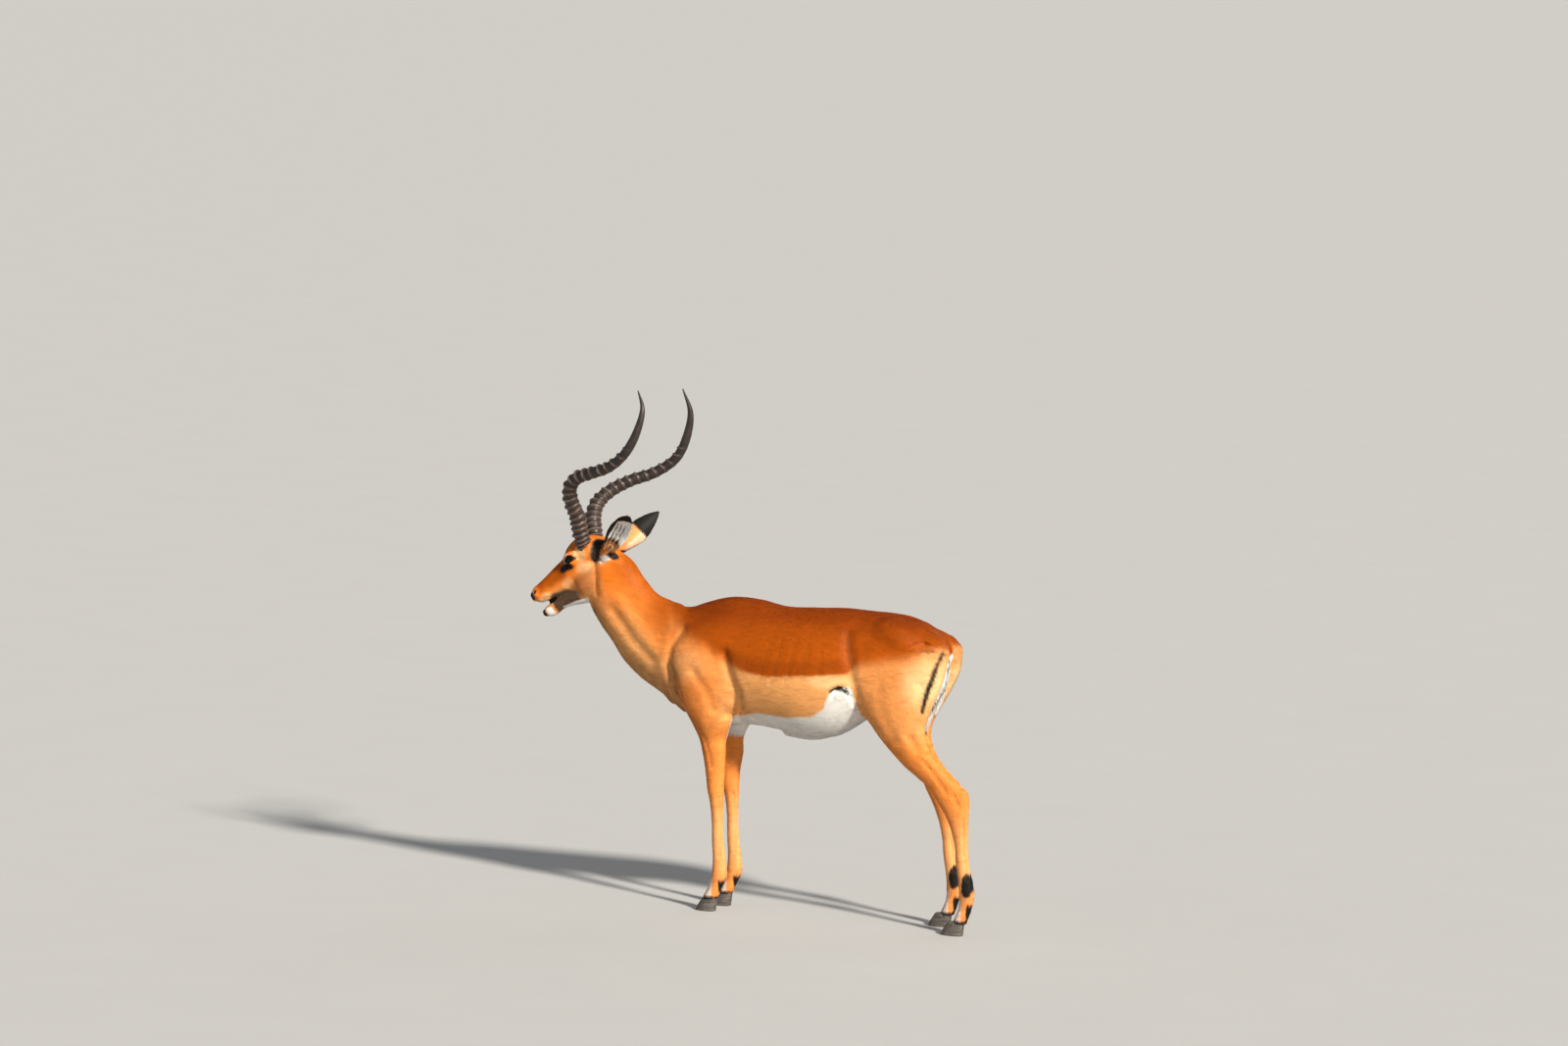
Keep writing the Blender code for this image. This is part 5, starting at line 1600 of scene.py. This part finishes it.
def horn(side_name, side):
    """A horn with broad leaning rings parted by narrow grooves, and a smooth tip."""
    curve = path_through([(x, side * y, z) for x, y, z in HORN_POINTS[side_name]])
    rng = np.random.default_rng(HORN_SEEDS[side_name])
    places = np.linspace(0.0, 1.0, HORN_ALONG) ** 1.1
    centres = curve(places)
    tangents = curve(np.minimum(places + 0.004, 1.0)) - curve(np.maximum(places - 0.004, 0.0))
    wander = rng.uniform(-RING_WANDER, RING_WANDER, HORN_RINGS + 3)
    height = rng.uniform(*RING_HEIGHTS, HORN_RINGS + 3)
    turn = 2 * math.pi * np.arange(HORN_AROUND) / HORN_AROUND
    front = np.cos(turn)
    rings, ridges = [], []
    for place, centre, tangent in zip(places, centres, tangents):
        core = float(horn_radius(place))
        share = np.clip((place - RINGS_FROM) / (RINGS_TO - RINGS_FROM), 0, 1) ** RINGS_CLOSER
        count = share * HORN_RINGS + RING_LEAN * front * (share > 0)
        number = np.clip(np.floor(count), 0, HORN_RINGS - 1).astype(int)
        phase = np.clip(count - number, 0, 1)
        phase = np.clip(phase + wander[number] * np.sin(math.pi * phase), 0, 1)
        on = ease(place, RINGS_FROM, RINGS_FROM + 0.01)
        on = on * (1 - ease(place, RINGS_TO - 0.05, RINGS_TO + 0.02))
        sharp = 0.19 - 0.09 * share
        crest = np.exp(-((phase - 0.42) / sharp) ** 2) - 0.35 * np.exp(-((phase - 0.80) / 0.10) ** 2)
        fade = (1.0 - 0.15 * share) * height[number]
        ridge = (0.25 * crest - 0.06) * fade * on * (0.72 + (0.18 + 0.30 * share) * front)
        ripple = 0.010 * np.sin(9 * turn + 6 * place) * (1 - 0.5 * place)
        middle = Vector(centre)
        circle = ring_around(centre, tangent, 1.0, HORN_AROUND)
        swell = ridge + ripple
        rings.append([middle + (point - middle) * core * (1 + float(r)) for point, r in zip(circle, swell)])
        ridges.append(ridge)
    made = new_object("horn_shell_" + side_name, lambda work: ring_faces(work, rings))
    add_values(made.data, "along", np.repeat(places, HORN_AROUND))
    add_values(made.data, "ridge", np.concatenate(ridges))
    made.data.shade_smooth()
    return made


CORNEA_RISE = 0.045                         # shares of the eye's radius
PUPIL_HALF_LENGTH, PUPIL_HALF_HEIGHT = 0.40, 0.20
RIM_FROM, RIM_TO = 0.70, 0.80


def eyeball(side_name, side):
    """A ball with a slightly raised clear front, and marks for its pupil and rim."""
    out, along, up = eye_axes(side)
    centre = np.array(eye_centre(side))
    ball = new_object("eye_ball_" + side_name, lambda work: bmesh.ops.create_uvsphere(
        work, u_segments=64, v_segments=40, radius=1.0))
    unit = mesh_points(ball.data)
    u, v, w = unit @ along, unit @ up, unit @ out
    bulge = 1 + CORNEA_RISE * np.exp(-((1 - w) / 0.10) ** 2) * (w > 0)
    set_points(ball.data, centre + unit * (EYE_RADIUS * bulge)[:, None])
    off = np.hypot(u / PUPIL_HALF_LENGTH, v / PUPIL_HALF_HEIGHT)
    add_values(ball.data, "pupil", (1 - ease(off, 0.85, 1.15)) * (w > 0))
    add_values(ball.data, "rim", ease(np.hypot(u, v), RIM_FROM, RIM_TO) + (w < 0))
    ball.data.shade_smooth()
    return ball


CLAW_AROUND = 36
CLAW_WIDTH = 0.0180
CLAW_GAP = 0.0012               # from the foot's middle to a claw's flat inside
GROWTH_RIPPLE = 0.00025
CLAW_KNOTS = (0.0, 0.014, CORONET_HEIGHT)
CLAW_TOE_SLOPE = (0.0, 0.006, 0.022)
CLAW_NARROWING = (1.0, 1.0, 0.82)
CLAW_LEVELS = (0.0, 0.0008, 0.002, *(0.004 + 0.0335 * k / 15 for k in range(16)), 0.0392)


def claw(name, toe, heel, stance, outward):
    """One hoof claw: flat sole, sloping toe, round outside and flat inside, with growth rings."""
    rings = []
    for height in CLAW_LEVELS:
        back = float(np.interp(height, CLAW_KNOTS, CLAW_TOE_SLOPE))
        share = float(np.interp(height, CLAW_KNOTS, CLAW_NARROWING))
        sole_round = 0.0009 * max(0.0, 1 - height / 0.002) ** 2
        trim = sole_round + 0.0010 * max(0.0, (height - 0.0375) / 0.0017)
        ripple = GROWTH_RIPPLE * math.sin(height * 1500) * (0.004 < height < 0.036)
        front, rear = toe + back + trim - ripple, heel + 0.10 * height - trim
        middle, half = (front + rear) / 2, (rear - front) / 2
        width = CLAW_WIDTH * share - trim + ripple
        ring = []
        for k in range(CLAW_AROUND):
            turn = 2 * math.pi * k / CLAW_AROUND
            bulge = math.sin(turn)
            out = CLAW_GAP + width * (0.25 + 0.75 * bulge if bulge > 0 else 0.25 * (1 + bulge))
            taper = 1.0 - 0.25 * max(0.0, -math.cos(turn)) ** 1.5
            ring.append((middle + half * math.cos(turn), stance + outward * out * taper, height))
        rings.append(ring)
    made = new_object(name, lambda work: ring_faces(work, rings))
    made.data.shade_smooth()
    made.data.set_sharp_from_angle(angle=math.radians(50))
    return made


# ---------------------------------------------------------------- settings and operators

def size_of(name, text, default):
    return FloatProperty(name=name, description=text, default=default, subtype="DISTANCE", unit="LENGTH")


def colour_of(name, text, default):
    return FloatVectorProperty(name=name, description=text, default=default, size=3,
                               subtype="COLOR", min=0.0, max=1.0)


class ImpalaColours(bpy.types.PropertyGroup):
    tan: colour_of("Tan", "Lower flanks, shoulders and thighs", (0.80, 0.375, 0.125))
    cream: colour_of("Cream", "Palest tan, behind the thighs and before the flank fold", (0.93, 0.62, 0.30))
    orange: colour_of("Orange", "Neck, face and legs", (0.82, 0.215, 0.020))
    saddle: colour_of("Saddle", "Red-brown of the back and upper flanks", (0.42, 0.079, 0.001))
    spine: colour_of("Spine", "Darkest red-brown, along the back", (0.22, 0.033, 0.001))
    # Grey-brown is also the colour of painted shade on the jowls, temple, throat, chest and in creases
    grey: colour_of("Grey-brown", "Smudges of the face and ears", (0.090, 0.060, 0.042))
    white: colour_of("White", "Belly, chin, tail and ear linings", (0.80, 0.77, 0.72))
    black: colour_of("Black", "Stripes, ear tips and heel tufts", (0.012, 0.010, 0.009))
    horn: colour_of("Horn", "Dark keratin of the horns", (0.022, 0.014, 0.011))
    hoof: colour_of("Hoof", "Dark keratin of the hooves", (0.040, 0.034, 0.030))
    iris: colour_of("Iris", "Dark brown of the eyes", (0.012, 0.006, 0.003))


class ImpalaSizes(bpy.types.PropertyGroup):
    mesh_size: size_of("Mesh size", "Edge length of the skin over the body", 0.0058)
    tuft_width: size_of("Tuft width", "Width of a short tuft at its root", 0.0016)
    lock_width: size_of("Lock width", "Width of a long lock at its root", 0.0020)
    lift: FloatProperty(name="Lift", description="How far the tufts stand off the skin",
                        default=math.radians(4), subtype="ANGLE", unit="ROTATION")
    seed: IntProperty(name="Seed", description="Seed of every random draw in the coat", default=7, min=0)


def settings():
    return bpy.context.scene.impala_sizes, bpy.context.scene.impala_colours


def finish_piece(piece, replaced=None, material=None):
    """Gives a piece its material and body, and hides the solids it replaces."""
    if not piece.data.polygons:
        raise RuntimeError(piece.name + " has no faces")
    if material:
        piece.data.materials.append(material)
    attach(piece, "root")
    if replaced:
        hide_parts(*replaced)


# Mounds under the ears and horns: radii, slope, blend
EAR_MOUND = ((0.016, 0.014, 0.017), 0.7, 0.010)
EAR_MOUND_RISE = 0.006
HORN_MOUND = ((0.029, 0.026, 0.026), 0.2, 0.012)
HORN_MOUND_SHIFT = 0.004
SKIN_BOTTOM = CORONET_HEIGHT - 0.004        # the skin ends flat inside the hooves
FINE_FACE_X, FINE_FACE_Z = -0.44, 0.74      # the head's part of the skin is cut finer
EAR_SOFTENING = 10                          # rounds of evening out where an ear leaves the head


class IMPALA_OT_skin(bpy.types.Operator):
    """Make the skin: blended forms, folds, lids, ears, markings and the lie of the coat."""
    bl_idname = "impala.skin"
    bl_label = "Skin"

    def execute(self, context):
        sizes, colours = settings()
        groups = {"trunk": list(trunk()), "neck": list(neck()), "head": [*head(), *jaw()],
                  "fore": [], "hind": [], "tail": list(tail())}
        for _, side in SIDES:
            right = side > 0
            groups["fore"] += foreleg(side, FORE_SHIFT if right else 0.0)
            groups["hind"] += hindleg(side, HIND_STEP if right else 0.0)
        forms = [form for group in groups.values() for form in group]
        for side_name, side in SIDES:
            root, axis, _, _ = ear_frame(side_name, side)
            forms.append(Belly(root + axis * EAR_MOUND_RISE, *EAR_MOUND))
            x, y, z = HORN_POINTS[side_name][0]
            centre = Vector((x + HORN_MOUND_SHIFT, side * y, z - HORN_MOUND_SHIFT))
            forms.append(Belly(centre, *HORN_MOUND))
        skin = self.blended_skin(forms, sizes.mesh_size)
        self.refine_face(skin, forms)
        self.add_ears(skin, forms)
        points = mesh_points(skin.data)
        points[points[:, 2] < SKIN_BOTTOM, 2] = SKIN_BOTTOM
        set_points(skin.data, points)
        mark_skin(skin, groups)
        unwrap(skin)
        skin.data.shade_smooth()
        skin.data.materials.clear()
        apart = ("eye_", "horn_", "hoof_")
        flesh = [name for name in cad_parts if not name.startswith(apart)]
        marks = bpy.data.node_groups.get("markings") or markings_group(colours)
        finish_piece(skin, flesh, hide_material(colours, marks))
        return {"FINISHED"}

    @staticmethod
    def blended_skin(forms, mesh_size):
        """An even mesh round all the forms, settled on their blended surface."""
        def build(work):
            for form in forms:
                ring_faces(work, form.rings(20, 16))

        skin = new_object("impala_skin", build)
        step = skin.modifiers.new("even skin", "REMESH")
        step.mode = "VOXEL"
        step.voxel_size = mesh_size
        apply_modifiers(skin)
        set_points(skin.data, settle(mesh_points(skin.data), forms, 4))
        return skin

    @staticmethod
    def refine_face(skin, forms):
        """Cuts the head finer, and the eyes, nostrils and lips finer still."""
        eyes = [eye_centre(side) for _, side in SIDES]
        nostrils = [nostril_centre(side) for _, side in SIDES]
        lips = [head_point(s, -0.052, side * 0.014) for _, side in SIDES for s in (0.02, 0.04, 0.06)]
        refine(skin, forms, lambda p: (p[:, 0] < FINE_FACE_X) & (p[:, 2] > FINE_FACE_Z), 2)
        for places, reach, rounds in ((eyes, 0.030, 2), (nostrils, 0.016, 2), (lips, 0.016, 2),
                                      (eyes, 0.024, 3), (nostrils, 0.013, 2)):
            refine(skin, forms, near_points(places, reach), rounds)

    @staticmethod
    def add_ears(skin, forms):
        """Joins the ears on and evens out the skin round their roots."""
        join_to(skin, [ear_leaf(side_name, side) for side_name, side in SIDES])
        points = mesh_points(skin.data)
        amount = np.zeros(len(points))
        outline = np.abs(skin_distance(points, forms))
        for side_name, side in SIDES:
            along, aside = ear_places(points, side_name, side)
            near = (1 - ease(outline, 0.004, 0.009)) * (1 - ease(aside, 0.020, 0.027))
            amount = np.maximum(amount, near * (along > -0.02) * (along < 0.035))
        soften(skin, amount, EAR_SOFTENING)


# Each piece of short coat: its region, how many tufts, and their share of the full width
SHORT_COAT = (
    ("head", 46000, 0.62), ("neck", 45000, 1.0), ("chest", 47000, 1.0), ("loin", 46000, 1.0),
    ("rump", 47000, 1.0), ("forelegs", 27000, 0.72), ("hindlegs", 38000, 0.80),
)
LOCK_COUNT = 13000
LOCK_SEED_STEP = 20


class IMPALA_OT_coat(bpy.types.Operator):
    """Grow the coat: short tufts over the whole skin and long locks where the hair is long."""
    bl_idname = "impala.coat"
    bl_label = "Coat"

    def execute(self, context):
        sizes, _ = settings()
        skin = bpy.data.objects["impala_skin"]
        tree = coat_tree()
        look = coat_material(bpy.data.node_groups["markings"])
        thin = 1.0
        for number, (name, count, share) in enumerate(SHORT_COAT):
            piece = grow(skin, tree, name, count * thin, Width=sizes.tuft_width * share,
                         Flatness=0.35, Lift=sizes.lift, Spread=0.20, Bend=0.03,
                         Segments=1, Seed=sizes.seed + number, Material=look)
            finish_piece(piece)
        piece = grow(skin, tree, "locks", LOCK_COUNT * thin, Width=sizes.lock_width, Flatness=0.4,
                     Lift=sizes.lift * 1.6, Spread=0.22, Bend=0.06, Segments=2,
                     Seed=sizes.seed + LOCK_SEED_STEP, Material=look, **{"Length from": "long_hair"})
        finish_piece(piece)
        return {"FINISHED"}


class IMPALA_OT_horns(bpy.types.Operator):
    """Make the two ringed horns."""
    bl_idname = "impala.horns"
    bl_label = "Horns"

    def execute(self, context):
        look = horn_material(settings()[1])
        for side_name, side in SIDES:
            finish_piece(horn(side_name, side), ["horn_" + side_name], look)
        return {"FINISHED"}


class IMPALA_OT_eyes(bpy.types.Operator):
    """Make the two eyeballs with iris and level pupil."""
    bl_idname = "impala.eyes"
    bl_label = "Eyes"

    def execute(self, context):
        look = eye_material(settings()[1])
        for side_name, side in SIDES:
            finish_piece(eyeball(side_name, side), ["eye_" + side_name], look)
        return {"FINISHED"}


class IMPALA_OT_hooves(bpy.types.Operator):
    """Make the eight hoof claws."""
    bl_idname = "impala.hooves"
    bl_label = "Hooves"

    def execute(self, context):
        look = hoof_material(settings()[1])
        for side_name, side in SIDES:
            for pair, toe, heel, stance, right_shift in HOOVES:
                shift = right_shift if side > 0 else 0.0
                for part, outward in (("outer", side), ("inner", -side)):
                    name = f"{pair}_{side_name}_{part}"
                    piece = claw("claw_" + name, toe + shift, heel + shift, side * stance, outward)
                    finish_piece(piece, ["hoof_" + name], look)
        return {"FINISHED"}


# Lights far away: name, way to it, strength, width in degrees, colour
LIGHTS = (
    ("key", (1.05, -0.72, 0.80), 6.3, 6.0, (1.0, 0.95, 0.86)),
    ("front", (-0.85, -0.60, 0.35), 0.12, 40.0, (0.95, 0.97, 1.0)),
    ("back", (0.3, 0.95, 0.55), 0.35, 40.0, (1.0, 0.98, 0.95)),
)
FLOOR_RADIUS = 320.0
VIEW_AZIMUTH, VIEW_HEIGHT, VIEW_ROLL = math.radians(22), math.radians(5), math.radians(2.5)
VIEW_DISTANCE = 22.0
VIEW_TARGET = (0.0679, 0.0, 1.1186)
VIEW_WIDTH = 4.4576                 # what the camera takes in from side to side at the target
SENSOR_WIDTH = 36.0


class IMPALA_OT_stage(bpy.types.Operator):
    """Make the pale floor, the soft lights and the camera."""
    bl_idname = "impala.stage"
    bl_label = "Stage"

    def execute(self, context):
        scene = context.scene
        scene.view_settings.view_transform = "Standard"
        self.make_floor()
        world = bpy.data.worlds.new("studio")
        world.use_nodes = True
        backdrop = world.node_tree.nodes["Background"]
        Wires(world.node_tree).paint(backdrop, Color=(0.86, 0.90, 0.96), Strength=0.32)
        scene.world = world
        for name, way, power, width, tint in LIGHTS:
            data = bpy.data.lights.new(name, "SUN")
            data.energy = power
            data.angle = math.radians(width)
            data.color = tint
            lamp = collection_add(bpy.data.objects.new(name, data))
            lamp.rotation_euler = Vector(way).to_track_quat("Z", "Y").to_euler()
        scene.camera = self.make_camera()
        return {"FINISHED"}

    @staticmethod
    def make_floor():
        floor = new_object("floor", lambda work: bmesh.ops.create_circle(
            work, cap_ends=True, segments=96, radius=FLOOR_RADIUS))
        look, wires, shader = new_material("floor", Roughness=0.85)
        cloud = wires.noise(wires.place(), 3.0, 2.0)
        wires.paint(shader, Base_Color=wires.mix(cloud, (0.44, 0.435, 0.425), (0.46, 0.455, 0.445)))
        floor.data.materials.append(look)

    @staticmethod
    def make_camera():
        """A long lens from the ram's left, a little from behind and above, slightly rolled."""
        level = math.cos(VIEW_HEIGHT)
        east, north = math.cos(VIEW_AZIMUTH), math.sin(VIEW_AZIMUTH)
        back = Vector((north * level, -east * level, math.sin(VIEW_HEIGHT)))
        right = Vector((east, north, 0.0))
        up = back.cross(right)
        across = right * math.cos(VIEW_ROLL) + up * math.sin(VIEW_ROLL)
        rise = up * math.cos(VIEW_ROLL) - right * math.sin(VIEW_ROLL)
        data = bpy.data.cameras.new("camera")
        data.sensor_width = SENSOR_WIDTH
        data.lens = SENSOR_WIDTH * VIEW_DISTANCE / VIEW_WIDTH
        camera = collection_add(bpy.data.objects.new("camera", data))
        turn = Matrix((across, rise, back)).transposed().to_4x4()
        camera.matrix_world = Matrix.Translation(Vector(VIEW_TARGET) + VIEW_DISTANCE * back) @ turn
        return camera


class IMPALA_PT_panel(bpy.types.Panel):
    bl_label = "Impala ram"
    bl_idname = "IMPALA_PT_panel"
    bl_space_type = "VIEW_3D"
    bl_region_type = "UI"
    bl_category = "Impala"

    def draw(self, context):
        for group in (context.scene.impala_sizes, context.scene.impala_colours):
            box = self.layout.box()
            for name in group.bl_rna.properties.keys():
                if name not in ("rna_type", "name"):
                    box.prop(group, name)
        for operator in OPERATORS:
            self.layout.operator(operator.bl_idname)


OPERATORS = (IMPALA_OT_skin, IMPALA_OT_coat, IMPALA_OT_horns, IMPALA_OT_eyes, IMPALA_OT_hooves,
             IMPALA_OT_stage)
CLASSES = (ImpalaColours, ImpalaSizes, *OPERATORS, IMPALA_PT_panel)


def register():
    for item in CLASSES:
        bpy.utils.register_class(item)
    bpy.types.Scene.impala_colours = PointerProperty(type=ImpalaColours)
    bpy.types.Scene.impala_sizes = PointerProperty(type=ImpalaSizes)


def unregister():
    del bpy.types.Scene.impala_colours
    del bpy.types.Scene.impala_sizes
    for item in reversed(CLASSES):
        bpy.utils.unregister_class(item)


def main():
    register()
    for operator in OPERATORS:
        getattr(bpy.ops.impala, operator.bl_idname.split(".")[1])()


if __name__ == "__main__":
    main()
